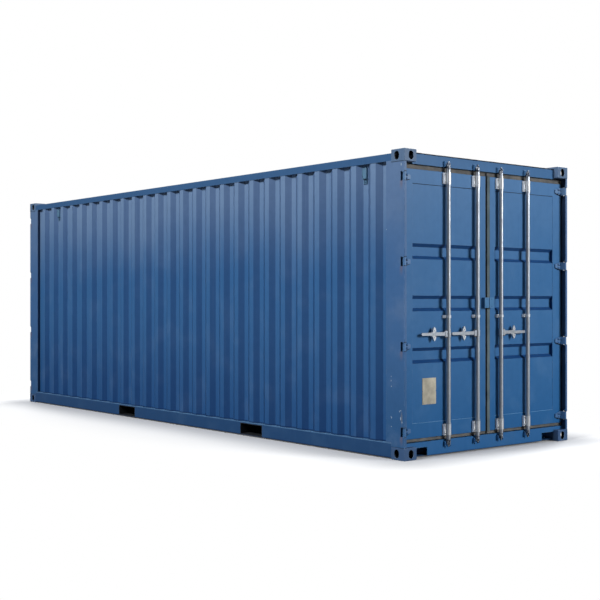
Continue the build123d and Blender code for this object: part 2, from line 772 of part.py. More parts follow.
def lever(y, side):
    """A handle lever that tapers to a round tip, in a hub on its bar."""
    back = BAR_X - LEVER_THICK / 2
    front = BAR_X + LEVER_THICK / 2
    tip = y + side * (HANDLE_REACH - LEVER_TIP / 2)
    outline = [
        (y, HANDLE_LEVEL - LEVER_ROOT / 2),
        (tip, HANDLE_LEVEL - LEVER_TIP / 2),
        (tip, HANDLE_LEVEL + LEVER_TIP / 2),
        (y, HANDLE_LEVEL + LEVER_ROOT / 2),
    ]
    piece = lengthwise(outline, back, front) + disc(tip, HANDLE_LEVEL, LEVER_TIP / 2, back, front)
    hub_low = HANDLE_LEVEL - HUB_HEIGHT / 2
    hub_end = y + side * HUB_REACH
    piece += rod(BAR_X, y, hub_low, hub_low + HUB_HEIGHT, HUB_RADIUS)
    return piece + block(
        (BAR_X - HUB_THICK / 2, min(y, hub_end), hub_low),
        (BAR_X + HUB_THICK / 2, max(y, hub_end), hub_low + HUB_HEIGHT),
    )


def lock_bar(place, handle_side):
    """A lock bar of a left leaf; handle_side is -1 to the left, 1 to the right, 0 for none."""
    y = -place
    inset = CAM_REACH - CAM_ARM
    bar = rod(BAR_X, y, BAR_LOW + inset, BAR_TOP - inset, BAR_RADIUS)
    bar += cam(y, BAR_LOW, -1) + cam(y, BAR_TOP, 1)
    low_collar = LOW_BRACKET_LOW + BRACKET_HEIGHT + COLLAR_GAP
    top_collar = TOP_BRACKET_LOW - COLLAR_GAP - COLLAR_HEIGHT
    for low in (low_collar, top_collar):
        bar += rod(BAR_X, y, low, low + COLLAR_HEIGHT, BAR_RADIUS + COLLAR_WALL)
    if handle_side:
        bar += lever(y, handle_side)
    return bar


def lock_box_half():
    """The left half of the box over the seam, open below."""
    left = -LOCK_BOX_WIDTH / 2
    low = HANDLE_LEVEL + LOCK_BOX_RISE
    top = low + LOCK_BOX_HEIGHT
    front = LEAF_X + LOCK_BOX_DEPTH
    shell = block((LEAF_X, left, low), (front, -LOCK_BOX_GAP, top))
    return shell - block(
        (LEAF_X - OVERRUN, left + LOCK_BOX_WALL, low - OVERRUN),
        (front - LOCK_BOX_WALL, OVERRUN, top - LOCK_BOX_WALL),
    )


def data_plate():
    """The bare plate on the left leaf, nicked at half height."""
    left = PLATE_FROM_SIDE - SIDE_Y
    edge = left + PLATE_WIDTH
    face = LEAF_X - PANEL_INSET
    front = face + PLATE_THICK
    middle = PLATE_LOW + PLATE_HEIGHT / 2
    plate = block((face, left, PLATE_LOW), (front, edge, PLATE_LOW + PLATE_HEIGHT))
    for side in (left, edge):
        plate -= disc(side, middle, PLATE_NOTCH, face, front)
    return plate


def right(shapes):
    """A list of left pieces made right-handed."""
    return [other_side(shape) for shape in shapes]


def rear(shapes):
    """A list of front pieces turned to the rear."""
    return [other_end(shape) for shape in shapes]


def all_nodes():
    """Every node's name with its list of solids."""
    outer_bar, inner_bar = BAR_PLACES
    left_catches = [-place - CATCH_PLACE for place in BAR_PLACES]
    right_catches = [-inner_bar - CATCH_PLACE]
    front_post = post()
    frame = [leaf_frame()]
    panel = [leaf_panel()]
    gasket = [leaf_gasket()]
    left_fittings = leaf_fittings(left_catches)
    right_fittings = right(leaf_fittings(right_catches))
    vents = [vent(share) for share in VENT_PLACE_SHARES]
    handled_bars = [lock_bar(outer_bar, -1), lock_bar(inner_bar, -1)]
    nodes = {
        "castings_top": casting_set(True),
        "castings_bottom": casting_set(False),
        "left_bottom_rail": [bottom_rail()],
        "right_bottom_rail": right([bottom_rail()]),
        "left_top_rail": [top_rail()],
        "right_top_rail": right([top_rail()]),
        "left_side_wall": [side_wall()],
        "right_side_wall": right([side_wall()]),
        "left_vents": vents,
        "right_vents": right(vents),
        "roof": [roof()],
        "front_left_post": [front_post],
        "front_right_post": right([front_post]),
        "rear_right_post": rear([front_post]),
        "rear_left_post": rear(right([front_post])),
        "hinge_pins": pin_set(),
        "front_header": [end_beam(HEADER_LOW, HEADER_TOP)],
        "rear_header": rear([end_beam(HEADER_LOW, HEADER_TOP)]),
        "front_sill": [sill()],
        "rear_sill": rear([sill()]),
        "front_keepers": keeper_set(),
        "rear_keepers": rear(keeper_set()),
        "fork_pockets": [fork_pocket(place) for place in POCKET_PLACES],
        "cross_members": cross_members(),
        "floor_boards": [floor_boards()],
        "left_door_frame": frame,
        "left_door_panel": panel,
        "left_door_gasket": gasket,
        "left_door_fittings": left_fittings,
        "right_door_frame": right(frame),
        "right_door_panel": right(panel),
        "right_door_gasket": right(gasket),
        "right_door_fittings": right_fittings,
        "left_outer_lock_bar": [handled_bars[0]],
        "left_inner_lock_bar": [handled_bars[1]],
        "right_inner_lock_bar": right([lock_bar(inner_bar, -1)]),
        "right_outer_lock_bar": right([lock_bar(outer_bar, 0)]),
        "left_lock_box": [lock_box_half()],
        "right_lock_box": right([lock_box_half()]),
        "data_plate": [data_plate()],
        "rear_door_frames": rear(frame + right(frame)),
        "rear_door_panels": rear(panel + right(panel)),
        "rear_door_gaskets": rear(gasket + right(gasket)),
        "rear_door_fittings": rear(left_fittings + right(left_fittings)),
        "rear_lock_bars": rear(handled_bars + right(handled_bars)),
    }
    return nodes


def write_parts():
    """One file for each node."""
    os.makedirs("parts", exist_ok=True)
    for name, shapes in all_nodes().items():
        solids = [solid for shape in shapes for solid in shape.solids()]
        body = solids[0] if len(solids) == 1 else Compound(children=solids)
        export_step(body, f"parts/{name}.step")


write_parts()
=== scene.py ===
# %% [markdown]
# A blue steel shipping container, seen from one corner at eye height.
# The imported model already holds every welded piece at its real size, so this
# lesson adds what paint, weather and small hardware do to it: seals with lips,
# louvred vents, bolt heads, weld beads, and a finish for every surface.

# %% Load the fixed frame
import math

import bmesh
import bpy
from mathutils import Matrix, Vector


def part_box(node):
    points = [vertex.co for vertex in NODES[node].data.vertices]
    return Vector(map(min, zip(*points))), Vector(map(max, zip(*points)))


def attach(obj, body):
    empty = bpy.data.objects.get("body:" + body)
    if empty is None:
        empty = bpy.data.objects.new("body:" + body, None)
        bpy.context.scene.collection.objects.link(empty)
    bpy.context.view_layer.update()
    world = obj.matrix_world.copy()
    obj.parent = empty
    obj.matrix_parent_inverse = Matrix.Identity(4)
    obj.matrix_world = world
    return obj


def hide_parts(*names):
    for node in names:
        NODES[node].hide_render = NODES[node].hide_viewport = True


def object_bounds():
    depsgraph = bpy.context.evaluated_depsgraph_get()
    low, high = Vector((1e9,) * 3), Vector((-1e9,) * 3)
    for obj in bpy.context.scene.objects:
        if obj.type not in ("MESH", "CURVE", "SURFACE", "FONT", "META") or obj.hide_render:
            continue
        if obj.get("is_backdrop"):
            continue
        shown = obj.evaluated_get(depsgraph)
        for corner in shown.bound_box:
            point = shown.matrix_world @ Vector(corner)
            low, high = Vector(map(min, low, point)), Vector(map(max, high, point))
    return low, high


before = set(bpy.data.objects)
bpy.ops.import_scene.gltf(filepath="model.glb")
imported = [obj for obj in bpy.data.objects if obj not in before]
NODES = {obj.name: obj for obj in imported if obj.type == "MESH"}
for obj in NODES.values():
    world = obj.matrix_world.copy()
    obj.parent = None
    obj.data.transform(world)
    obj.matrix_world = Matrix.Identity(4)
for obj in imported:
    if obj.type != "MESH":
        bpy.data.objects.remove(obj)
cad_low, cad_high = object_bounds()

HALF_LENGTH = cad_high.x
HALF_WIDTH = cad_high.y
HEIGHT = cad_high.z
print("container is", [round(v, 3) for v in cad_high - cad_low], "m")

# %% [markdown]
# The view is part of the likeness. The camera stands about ten metres from the
# near corner, level with a person's eyes, so every upright edge stays upright.
# Its place is given from that corner, along and across the direction it looks.

# %% Place the camera
FRAME_PIXELS = 600
FOCAL_PIXELS = 1099.6
HORIZON_ROW = 299.5
SENSOR_MM = 36.0
EYE_HEIGHT = 1.495
CORNER_RIGHT = 0.963
CORNER_DEPTH = 10.142
LOOK = Vector((-0.7723, 0.6353, 0.0)).normalized()
RIGHT = LOOK.cross(Vector((0, 0, 1)))
SIGHT_END = 200


def place_camera():
    data = bpy.data.cameras.new("view_camera")
    data.lens = FOCAL_PIXELS / FRAME_PIXELS * SENSOR_MM
    data.sensor_width = SENSOR_MM
    data.shift_y = (HORIZON_ROW - FRAME_PIXELS / 2) / FRAME_PIXELS
    data.clip_end = SIGHT_END
    camera = bpy.data.objects.new("view_camera", data)
    bpy.context.scene.collection.objects.link(camera)
    corner = Vector((HALF_LENGTH, -HALF_WIDTH, 0))
    camera.location = corner - CORNER_RIGHT * RIGHT - CORNER_DEPTH * LOOK
    camera.location.z = EYE_HEIGHT
    camera.rotation_euler = LOOK.to_track_quat("-Z", "Y").to_euler()
    bpy.context.scene.camera = camera
    return camera


camera = place_camera()
print("camera at", [round(v, 3) for v in camera.location])

# %% [markdown]
# Every finish below is a small tree of shader nodes. A few helpers keep those
# trees readable: one adds a node with its values, others do sums, one lays a
# colour over another, and one turns a value into a soft step.

# %% Helpers for shader trees
def tint(red, green, blue):
    """A colour picked as 0 to 255 values, turned into the linear values a shader wants."""
    shares = [value / 255 for value in (red, green, blue)]
    linear = [s / 12.92 if s < 0.04045 else ((s + 0.055) / 1.055) ** 2.4 for s in shares]
    return (*linear, 1.0)


def fill(tree, node, values):
    """Sets a node's sockets, each by a value or by a link."""
    for key, value in values.items():
        if isinstance(value, bpy.types.NodeSocket):
            tree.links.new(value, node.inputs[key])
        else:
            node.inputs[key].default_value = value


def add_node(tree, kind, values=None, **settings):
    node = tree.nodes.new(kind)
    for key, value in settings.items():
        setattr(node, key, value)
    fill(tree, node, values or {})
    return node


def sum_node(tree, operation, *values):
    return add_node(tree, "ShaderNodeMath", dict(enumerate(values)), operation=operation).outputs[0]


def times(tree, first, second):
    return sum_node(tree, "MULTIPLY", first, second)


def minus(tree, first, second):
    return sum_node(tree, "SUBTRACT", first, second)


def inverse(tree, mask):
    """1 where the mask is 0, and 0 where it is 1."""
    return minus(tree, 1.0, mask)


def distance(tree, value, middle=None):
    """How far a value lies from a middle, or from 0."""
    return sum_node(tree, "ABSOLUTE", value if middle is None else minus(tree, value, middle))


def slant(tree, first, second):
    """The straight distance that two square distances make."""
    squares = [times(tree, side, side) for side in (first, second)]
    return sum_node(tree, "SQRT", sum_node(tree, "ADD", *squares))


def scaled(tree, value, factor, offset):
    return sum_node(tree, "MULTIPLY_ADD", value, factor, offset)


def mix_shaders(tree, share, first, second):
    values = {0: share, 1: first.outputs[0], 2: second.outputs[0]}
    return add_node(tree, "ShaderNodeMixShader", values).outputs[0]


def blend(tree, factor, first, second, mode="MIX"):
    """The first colour at factor 0, the second at 1."""
    values = {0: factor, 6: first, 7: second}
    return add_node(tree, "ShaderNodeMix", values, data_type="RGBA", blend_type=mode).outputs[2]


def lay_on(tree, color, over, mask, amount):
    """The colour with another laid over it where the mask is, by an amount."""
    return blend(tree, times(tree, mask, amount), color, over)


def soft_step(tree, value, low, high):
    """0 below low, 1 above high, smooth between."""
    values = {"Value": value, "From Min": low, "From Max": high}
    node = add_node(tree, "ShaderNodeMapRange", values, interpolation_type="SMOOTHSTEP")
    return node.outputs["Result"]


def noise(tree, place, scale, detail=4.0, roughness=0.5):
    values = {"Vector": place, "Scale": scale, "Detail": detail, "Roughness": roughness}
    return add_node(tree, "ShaderNodeTexNoise", values).outputs["Fac"]


def object_place(tree):
    return add_node(tree, "ShaderNodeTexCoord").outputs["Object"]


def split_place(tree):
    """The X, Y and Z of a point on the object."""
    return add_node(tree, "ShaderNodeSeparateXYZ", {0: object_place(tree)}).outputs


def stretched(tree, place, scale):
    return add_node(tree, "ShaderNodeMapping", {"Vector": place, "Scale": scale}).outputs[0]


print("a mid blue is", [round(v, 3) for v in tint(57, 98, 142)])

# %% [markdown]
# A studio shot of something this large needs large lamps. A broad key stands
# beyond the doors, high on the right, so the lock bars throw soft shadows to
# their left. A long lamp behind the plane of the doors washes the side wall from
# above, and leaves the deep reveals of the doorway dark. Two weaker lamps behind
# light the far side and the rear doors, which this camera doesn't see, and the rear
# one is kept out of reflections so that it puts no glare on the roof. The world is
# white only where the camera looks at it, so it adds little light of its own.

# %% Light the studio
DOOR_LAMP = (7, 7)
WALL_LAMP = (11, 6)
TOP_LAMP = (14, 14)
MID_HEIGHT = HEIGHT / 2
SKY_STRENGTH = 0.045
SKY_COLOR = (0.72, 0.87, 1.0, 1)
WHITE = (1, 1, 1, 1)


def area_light(name, place, target, size, watts):
    data = bpy.data.lights.new(name, "AREA")
    data.shape = "ELLIPSE"
    data.size, data.size_y = size
    data.energy = watts
    lamp = bpy.data.objects.new(name, data)
    bpy.context.scene.collection.objects.link(lamp)
    lamp.location = place
    direction = Vector(target) - Vector(place)
    lamp.rotation_euler = direction.to_track_quat("-Z", "Y").to_euler()
    return lamp


area_light("key_lamp", (20.3, 7.3, 7.0), (HALF_LENGTH, 0, MID_HEIGHT), DOOR_LAMP, 3700)
area_light("side_lamp", (2.8, -19.5, 17.0), (0, -HALF_WIDTH, MID_HEIGHT), WALL_LAMP, 7100)
area_light("right_lamp", (-2.8, 19.5, 17.0), (0, HALF_WIDTH, MID_HEIGHT), WALL_LAMP, 5200)
area_light("top_lamp", (0, 0, 15), (0, 0, 0), TOP_LAMP, 200)
rear_target = (-HALF_LENGTH, 0, MID_HEIGHT)
rear_lamp = area_light("rear_lamp", (-20.3, 5.0, 7.0), rear_target, DOOR_LAMP, 2700)
rear_lamp.visible_glossy = False


def white_surroundings():
    """White where the camera looks at it, and dim light for everything else."""
    world = bpy.data.worlds.new("studio")
    world.use_nodes = True
    bpy.context.scene.world = world
    tree = world.node_tree
    tree.nodes.clear()
    dim = add_node(tree, "ShaderNodeBackground", {"Color": SKY_COLOR, "Strength": SKY_STRENGTH})
    white = add_node(tree, "ShaderNodeBackground", {"Color": WHITE, "Strength": 1.0})
    path = tree.nodes.new("ShaderNodeLightPath").outputs
    seen = sum_node(tree, "MAXIMUM", path["Is Camera Ray"], path["Is Transmission Ray"])
    add_node(tree, "ShaderNodeOutputWorld", {"Surface": mix_shaders(tree, seen, dim, white)})


white_surroundings()
bpy.context.scene.view_settings.view_transform = "Standard"
print(len(bpy.data.lights), "lamps")

# %% [markdown]
# The floor is plain matt white. Close to the container it shows its real shading,
# which is the soft shadow that makes the steel look heavy, and its colour is also
# darkened towards the steel as a painted shadow. Further off it fades to pure white
# for the camera, so that no horizon shows. It throws little light back, as a studio
# floor does when black flags stand just outside the picture.

# %% Lay the studio floor
FLOOR_REACH = 60.0
SHADOW_REACH = 1.5
PAINTED_SHADOW_REACH = 0.8
PAINTED_SHADOW_TONE = (0.46, 0.47, 0.49, 1)
FLOOR_TONE = (0.85, 0.85, 0.85, 1)
BOUNCE_TONE = (0.2, 0.2, 0.2, 1)
FLOOR_LIFT = 0.08


def empty_material(name):
    material = bpy.data.materials.new(name)
    material.use_nodes = True
    material.node_tree.nodes.clear()
    return material, material.node_tree


def floor_material():
    material, tree = empty_material("floor_white")
    split = split_place(tree)
    gaps = [
        sum_node(tree, "MAXIMUM", minus(tree, distance(tree, split[axis]), half), 0.0)
        for axis, half in (("X", HALF_LENGTH), ("Y", HALF_WIDTH))
    ]
    away = slant(tree, *gaps)
    seen = tree.nodes.new("ShaderNodeLightPath").outputs["Is Camera Ray"]
    # Painted shadow: the floor's colour is darkened towards the steel.
    tone = blend(tree, soft_step(tree, away, 0.0, PAINTED_SHADOW_REACH), PAINTED_SHADOW_TONE, FLOOR_TONE)
    pale = blend(tree, seen, BOUNCE_TONE, tone)
    matt = add_node(tree, "ShaderNodeBsdfDiffuse", {"Color": pale})
    glow = add_node(tree, "ShaderNodeEmission", {"Strength": times(tree, seen, FLOOR_LIFT)})
    near = add_node(tree, "ShaderNodeAddShader", {0: matt.outputs[0], 1: glow.outputs[0]})
    white = add_node(tree, "ShaderNodeEmission", {"Strength": 1.0})
    white_share = times(tree, soft_step(tree, away, 0.0, SHADOW_REACH), seen)
    surface = mix_shaders(tree, white_share, near, white)
    add_node(tree, "ShaderNodeOutputMaterial", {"Surface": surface})
    return material


bpy.ops.object.select_all(action="DESELECT")
bpy.ops.mesh.primitive_plane_add(size=2 * FLOOR_REACH, location=(0, 0, 0))
floor = bpy.context.object
floor.name = "studio_floor"
floor.data.materials.append(floor_material())
floor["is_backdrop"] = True
print("floor", floor.dimensions.x, "m across")

# %% [markdown]
# Many surfaces share the same few effects. Each effect is built once as a node
# group with named inputs, and every material places it with values of its own.

# %% A helper for node groups
FLOAT, VECTOR, COLOR = "NodeSocketFloat", "NodeSocketVector", "NodeSocketColor"


def new_group(name, inputs, outputs):
    """A node group: inputs with their values, and outputs, of which only Color is a colour."""
    group = bpy.data.node_groups.new(name, "ShaderNodeTree")
    for label, value in inputs.items():
        kind = {4: COLOR, 3: VECTOR}[len(value)] if isinstance(value, tuple) else FLOAT
        socket = group.interface.new_socket(name=label, in_out="INPUT", socket_type=kind)
        socket.default_value = value
    for label in outputs:
        kind = COLOR if label == "Color" else FLOAT
        group.interface.new_socket(name=label, in_out="OUTPUT", socket_type=kind)
    given = group.nodes.new("NodeGroupInput").outputs
    return group, given, group.nodes.new("NodeGroupOutput")


def use_group(tree, group, values):
    return add_node(tree, "ShaderNodeGroup", values, node_tree=group).outputs


# %% [markdown]
# Paint on a container that has stood outside fades in patches, and rain draws thin
# upright streaks. The coat is also made lighter towards the top and deeper blue low
# on the wall, a painted gradient of the light that falls from above. A very fine bump
# stands for the orange peel of sprayed paint.

# %% The weathered coat of paint
LIT_TOP_LEVELS = (1.6, 2.9)
SHADED_FOOT_LEVELS = (0.0, 1.5)
STREAK_SCALE = (16.0, 16.0, 0.5)


def build_paint_group():
    group, given, result = new_group("weathered_paint", {
        "Paint": tint(57, 98, 142), "Faded and lit": tint(92, 124, 154), "Deep and shaded": tint(42, 80, 128),
        "Patches": 0.35, "Streaks": 0.3,
    }, ("Color", "Roughness", "Height"))
    place = object_place(group)
    uneven = scaled(group, noise(group, place, 0.8, 5.0), 0.7, -0.35)
    level = sum_node(group, "ADD", split_place(group)["Z"], uneven)
    # Painted light: the coat turns deeper low down and lighter high up, as light from above falls
    # on it.
    low = inverse(group, soft_step(group, level, *SHADED_FOOT_LEVELS))
    color = blend(group, low, given["Paint"], given["Deep and shaded"])
    color = blend(group, soft_step(group, level, *LIT_TOP_LEVELS), color, given["Faded and lit"])
    patch = soft_step(group, noise(group, place, 3.2, 6.0), 0.48, 0.72)
    color = lay_on(group, color, given["Faded and lit"], patch, given["Patches"])
    streak = noise(group, stretched(group, place, STREAK_SCALE), 1.5, 5.0)
    dark = soft_step(group, streak, 0.52, 0.8)
    color = lay_on(group, color, given["Deep and shaded"], dark, given["Streaks"])
    pale = soft_step(group, inverse(group, streak), 0.56, 0.85)
    color = lay_on(group, color, given["Faded and lit"], pale, times(group, given["Streaks"], 0.6))
    fine = noise(group, place, 17.0, 6.0)
    grain = scaled(group, fine, 0.16, 0.92)
    grain = add_node(group, "ShaderNodeCombineColor", {0: grain, 1: grain, 2: grain}).outputs[0]
    fill(group, result, {
        "Color": blend(group, 1.0, color, grain, "MULTIPLY"),
        "Roughness": times(group, fine, 0.18),
        "Height": noise(group, place, 300.0, 2.0),
    })
    return group


PAINT_GROUP = build_paint_group()
print("paint group has", len(PAINT_GROUP.nodes), "nodes")

# %% [markdown]
# Steel edges lose their paint first. A Bevel node rounds the normal near an edge;
# where the rounded normal leaves the true one there is an edge, and noise breaks
# that line up so that it reads as rubbing and not as a drawn outline.

# %% Rubbed edges
def likeness(tree, first, second):
    """1 where two directions agree, 0 where they are square to each other."""
    values = {0: first, 1: second}
    return add_node(tree, "ShaderNodeVectorMath", values, operation="DOT_PRODUCT").outputs["Value"]


def build_edge_group():
    inputs = {"Reach": 0.006, "Breakup": 14.0, "Amount": 0.6}
    group, given, result = new_group("edge_rub", inputs, ("Mask",))
    rounded = add_node(group, "ShaderNodeBevel", {"Radius": given["Reach"]}, samples=6).outputs[0]
    true = add_node(group, "ShaderNodeNewGeometry").outputs["Normal"]
    edge = soft_step(group, inverse(group, likeness(group, rounded, true)), 0.01, 0.18)
    breakup = noise(group, object_place(group), given["Breakup"], 7.0, 0.65)
    mask = times(group, edge, soft_step(group, breakup, 0.42, 0.62))
    fill(group, result, {"Mask": times(group, mask, given["Amount"])})
    return group


EDGE_GROUP = build_edge_group()
print("edges are rubbed by", EDGE_GROUP.name)

# %% [markdown]
# Rust starts as specks where the coat was chipped, and bleeds a little downward.
# Noise above a threshold gives the specks. One input says how large they are, and
# the other, which moves the threshold, how far gone a surface is.

# %% Rust specks
def build_rust_group():
    inputs = {"Size": 9.0, "Amount": 0.3}
    group, given, result = new_group("rust_specks", inputs, ("Mask", "Color"))
    place = object_place(group)
    specks = noise(group, stretched(group, place, (1.0, 1.0, 0.45)), given["Size"], 8.0, 0.7)
    threshold = scaled(group, given["Amount"], -0.22, 0.76)
    tone = soft_step(group, noise(group, place, 45.0, 5.0), 0.35, 0.7)
    fill(group, result, {
        "Mask": soft_step(group, specks, threshold, sum_node(group, "ADD", threshold, 0.06)),
        "Color": blend(group, tone, tint(74, 50, 40), tint(132, 90, 66)),
    })
    return group


RUST_GROUP = build_rust_group()
print("rust comes from", RUST_GROUP.name)

# %% [markdown]
# The slopes between the flats of pressed sheet are painted darker, a painted shade
# for the light they turn away from. The mask compares a face's own direction with
# the one given, whichever way round it points.

# %% Flats and slopes
def build_flat_group():
    inputs = {"Facing": (0.0, 1.0, 0.0)}
    group, given, result = new_group("outward_flats", inputs, ("Mask",))
    own = add_node(group, "ShaderNodeTexCoord").outputs["Normal"]
    straight = distance(group, likeness(group, own, given["Facing"]))
    fill(group, result, {"Mask": soft_step(group, straight, 0.9, 0.97)})
    return group


FLAT_GROUP = build_flat_group()
print("flats are told from slopes by", FLAT_GROUP.name)

# %% [markdown]
# Every painted part takes the same coats in the same order: weathered paint, painted
# shade on the slopes where the sheet is pressed, rubbed edges, then rust, and last any
# marks of its own, some of them painted light and shade. Only the colours and the
# amounts differ from part to part.

# %% One recipe for every painted surface
BARE_EDGE = tint(118, 132, 146)
LOOKS = {}


def new_look(name):
    """A material kept under its name, with a Principled BSDF ready to be filled."""
    LOOKS[name], tree = empty_material(name)
    shader = tree.nodes.new("ShaderNodeBsdfPrincipled")
    add_node(tree, "ShaderNodeOutputMaterial", {"Surface": shader.outputs[0]})
    return tree, shader


def bumped(tree, height, strength, depth):
    values = {"Height": height, "Strength": strength, "Distance": depth}
    return add_node(tree, "ShaderNodeBump", values).outputs[0]


def painted(name, paint, faded, deep, patches=0.35, streaks=0.3, rough=0.42, rub=0.5,
            reach=0.006, rust=0.1, size=9.0, facing=None, slope_shade=None, extra=None):
    """Painted steel: weathered coat, painted shade on slopes, rubbed edges and rust, each by its
    own amount.
    """
    tree, shader = new_look(name)
    coat = use_group(tree, PAINT_GROUP, {
        "Paint": tint(*paint), "Faded and lit": tint(*faded), "Deep and shaded": tint(*deep),
        "Patches": patches, "Streaks": streaks,
    })
    color = coat["Color"]
    if facing:
        flats = use_group(tree, FLAT_GROUP, {"Facing": facing})["Mask"]
        # Painted shade: slopes take the darker slope colour, flats facing outwards keep the coat.
        shaded = blend(tree, 1.0, color, slope_shade, "MULTIPLY")
        color = blend(tree, flats, shaded, color)
    edge = use_group(tree, EDGE_GROUP, {"Reach": reach, "Amount": rub})["Mask"]
    color = blend(tree, edge, color, BARE_EDGE)
    spots = use_group(tree, RUST_GROUP, {"Size": size, "Amount": rust})
    color = blend(tree, spots["Mask"], color, spots["Color"])
    level = sum_node(tree, "ADD", coat["Roughness"], rough - 0.09)
    height = scaled(tree, spots["Mask"], 0.6, coat["Height"])
    fill(tree, shader, {
        "Base Color": extra(tree, color) if extra else color,
        "Roughness": scaled(tree, spots["Mask"], 0.3, level),
        "Specular IOR Level": 0.15,
        "Normal": bumped(tree, height, 0.15, 0.0006),
    })


print("bare edges are", [round(v, 3) for v in BARE_EDGE[:3]])

# %% [markdown]
# Some marks have a place of their own. The reveal of every post, where it lies
# behind the end and the side of the container, is painted dark as shade. Water runs
# out below each hinge and stains the post, and the near post has a few chips and a
# scraped edge. Each is a mask worked out from the position of a point on the steel,
# so it stays on its post.

# %% Marks on the posts
HINGE_LOW = 0.2655
HINGE_PITCH = 0.792
HINGE_LEVELS = [HINGE_LOW + HINGE_PITCH * index for index in range(4)]
STAIN_PLACE = 3.832
STAIN_START = 0.045
STAIN_FADE = (0.055, 0.150)
STAIN_SIDES = (0.016, 0.036)
REVEAL_SHADE = (0.0065, 0.0095)
NEAR_SIDE = -1.2
# Each mark is its place along the wall, its level, and half its width and height.
SCRAPE = (3.836, 0.392, 0.016, 0.075)
CHIPS = [
    (3.7027, 0.392, 0.0045, 0.0100), (3.7020, 0.308, 0.0050, 0.0055),
    (3.8080, 0.4560, 0.0040, 0.0090), (3.8250, 0.4640, 0.0060, 0.0060),
    (3.6356, 2.1525, 0.0040, 0.0055), (3.6940, 0.4000, 0.0030, 0.0040),
    (3.7010, 0.6830, 0.0045, 0.0060), (3.6990, 0.7760, 0.0040, 0.0050),
    (3.6980, 0.7360, 0.0030, 0.0100), (3.8310, 2.7480, 0.0050, 0.0140),
    (3.8240, 0.3900, 0.0060, 0.0150), (3.8420, 0.3560, 0.0040, 0.0080),
]


def spot(tree, split, mark):
    """How far a point lies from the middle of an oval mark, in halves of its size."""
    x, z, half_wide, half_tall = mark
    dx = sum_node(tree, "DIVIDE", minus(tree, split["X"], x), half_wide)
    dz = sum_node(tree, "DIVIDE", minus(tree, split["Z"], z), half_tall)
    return slant(tree, dx, dz)


def hinge_stains(tree, split, rough_edge):
    """A narrow run below each hinge, fading as it goes down."""
    raised = sum_node(tree, "ADD", split["Z"], HINGE_PITCH - HINGE_LOW)
    below = minus(tree, HINGE_PITCH, sum_node(tree, "MODULO", raised, HINGE_PITCH))
    run = inverse(tree, soft_step(tree, below, *STAIN_FADE))
    run = times(tree, run, sum_node(tree, "GREATER_THAN", below, STAIN_START))
    aside = distance(tree, distance(tree, split["X"]), STAIN_PLACE)
    aside = scaled(tree, rough_edge, 0.02, aside)
    return times(tree, run, inverse(tree, soft_step(tree, aside, *STAIN_SIDES)))


def post_marks(tree, color):
    """Painted shade in the reveal of every post, stains, and the near post's scrape and chips."""
    split = split_place(tree)
    behind = minus(tree, HALF_LENGTH, distance(tree, split["X"]))
    inward = minus(tree, HALF_WIDTH, distance(tree, split["Y"]))
    # Painted shade: the post is made near black where it lies back from both outer faces.
    reveal_shade = soft_step(tree, sum_node(tree, "MINIMUM", behind, inward), *REVEAL_SHADE)
    color = lay_on(tree, color, tint(8, 22, 46), reveal_shade, 0.85)
    rough_edge = noise(tree, object_place(tree), 60.0, 5.0)
    near_side = sum_node(tree, "LESS_THAN", split["Y"], NEAR_SIDE)
    wear = sum_node(tree, "ADD", spot(tree, split, SCRAPE), rough_edge)
    wear = times(tree, inverse(tree, soft_step(tree, wear, 0.9, 1.5)), near_side)
    color = lay_on(tree, color, tint(96, 104, 118), wear, 0.7)
    nearest = 10.0
    for chip in CHIPS:
        nearest = sum_node(tree, "MINIMUM", spot(tree, split, chip), nearest)
    chipped = inverse(tree, soft_step(tree, scaled(tree, rough_edge, 0.9, nearest), 1.1, 1.6))
    color = lay_on(tree, color, tint(150, 166, 182), chipped, near_side)
    stain = times(tree, hinge_stains(tree, split, rough_edge), 0.42)
    return lay_on(tree, color, tint(112, 92, 88), stain, inverse(tree, reveal_shade))


print(len(CHIPS), "chips on the near post")

# %% [markdown]
# Shade has its places too, and is painted in. The insides of the corner castings are
# painted near black as shade, the lowest edges are painted nearly black as the shade
# along the floor, and the foot of the wall is darker just above the rail. These masks
# come from a point's depth or from its level.

# %% Painted shade in cavities and along low edges
RAIL_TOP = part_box("left_bottom_rail")[1].z
CASTING_SIZE = (0.178, 0.162, 0.118)
LOW_SHADE_LEVELS = (0.014, 0.026)


def cavity_shade(tree, color):
    """Painted shade: darkens what lies behind the faces of the castings, and not the faces."""
    split = split_place(tree)
    upright = minus(tree, split["Z"], MID_HEIGHT)
    sides = ((split["X"], HALF_LENGTH), (split["Y"], HALF_WIDTH), (upright, MID_HEIGHT))
    depths = []
    for (place, outer), size in zip(sides, CASTING_SIZE):
        away = distance(tree, place)
        depths += [minus(tree, outer, away), minus(tree, away, outer - size)]
    depth = depths[0]
    for other in depths[1:]:
        depth = sum_node(tree, "MINIMUM", depth, other)
    return blend(tree, soft_step(tree, depth, 0.002, 0.010), color, tint(12, 16, 24))


def low_edge_shade(tree, color):
    """Painted shade: the last finger's width above the ground is made nearly black, as the shade
    along the floor.
    """
    low_shade = inverse(tree, soft_step(tree, split_place(tree)["Z"], *LOW_SHADE_LEVELS))
    return lay_on(tree, color, tint(16, 34, 64), low_shade, 0.85)


def rail_highlight_and_shade(tree, color):
    """A painted highlight along the edge of the rail's upper flange, and the painted shade at its
    foot.
    """
    # Painted highlight: a paler band just under the top of the rail.
    edge = soft_step(tree, split_place(tree)["Z"], RAIL_TOP - 0.011, RAIL_TOP - 0.006)
    return low_edge_shade(tree, lay_on(tree, color, tint(92, 130, 166), edge, 0.6))


def wall_foot(tree, color):
    """A dark band along the foot of the wall, just above the rail."""
    foot = soft_step(tree, split_place(tree)["Z"], RAIL_TOP + 0.008, RAIL_TOP + 0.018)
    return lay_on(tree, color, tint(18, 42, 78), inverse(tree, foot), 0.75)


print("the side rails reach up to", round(RAIL_TOP, 3), "m")
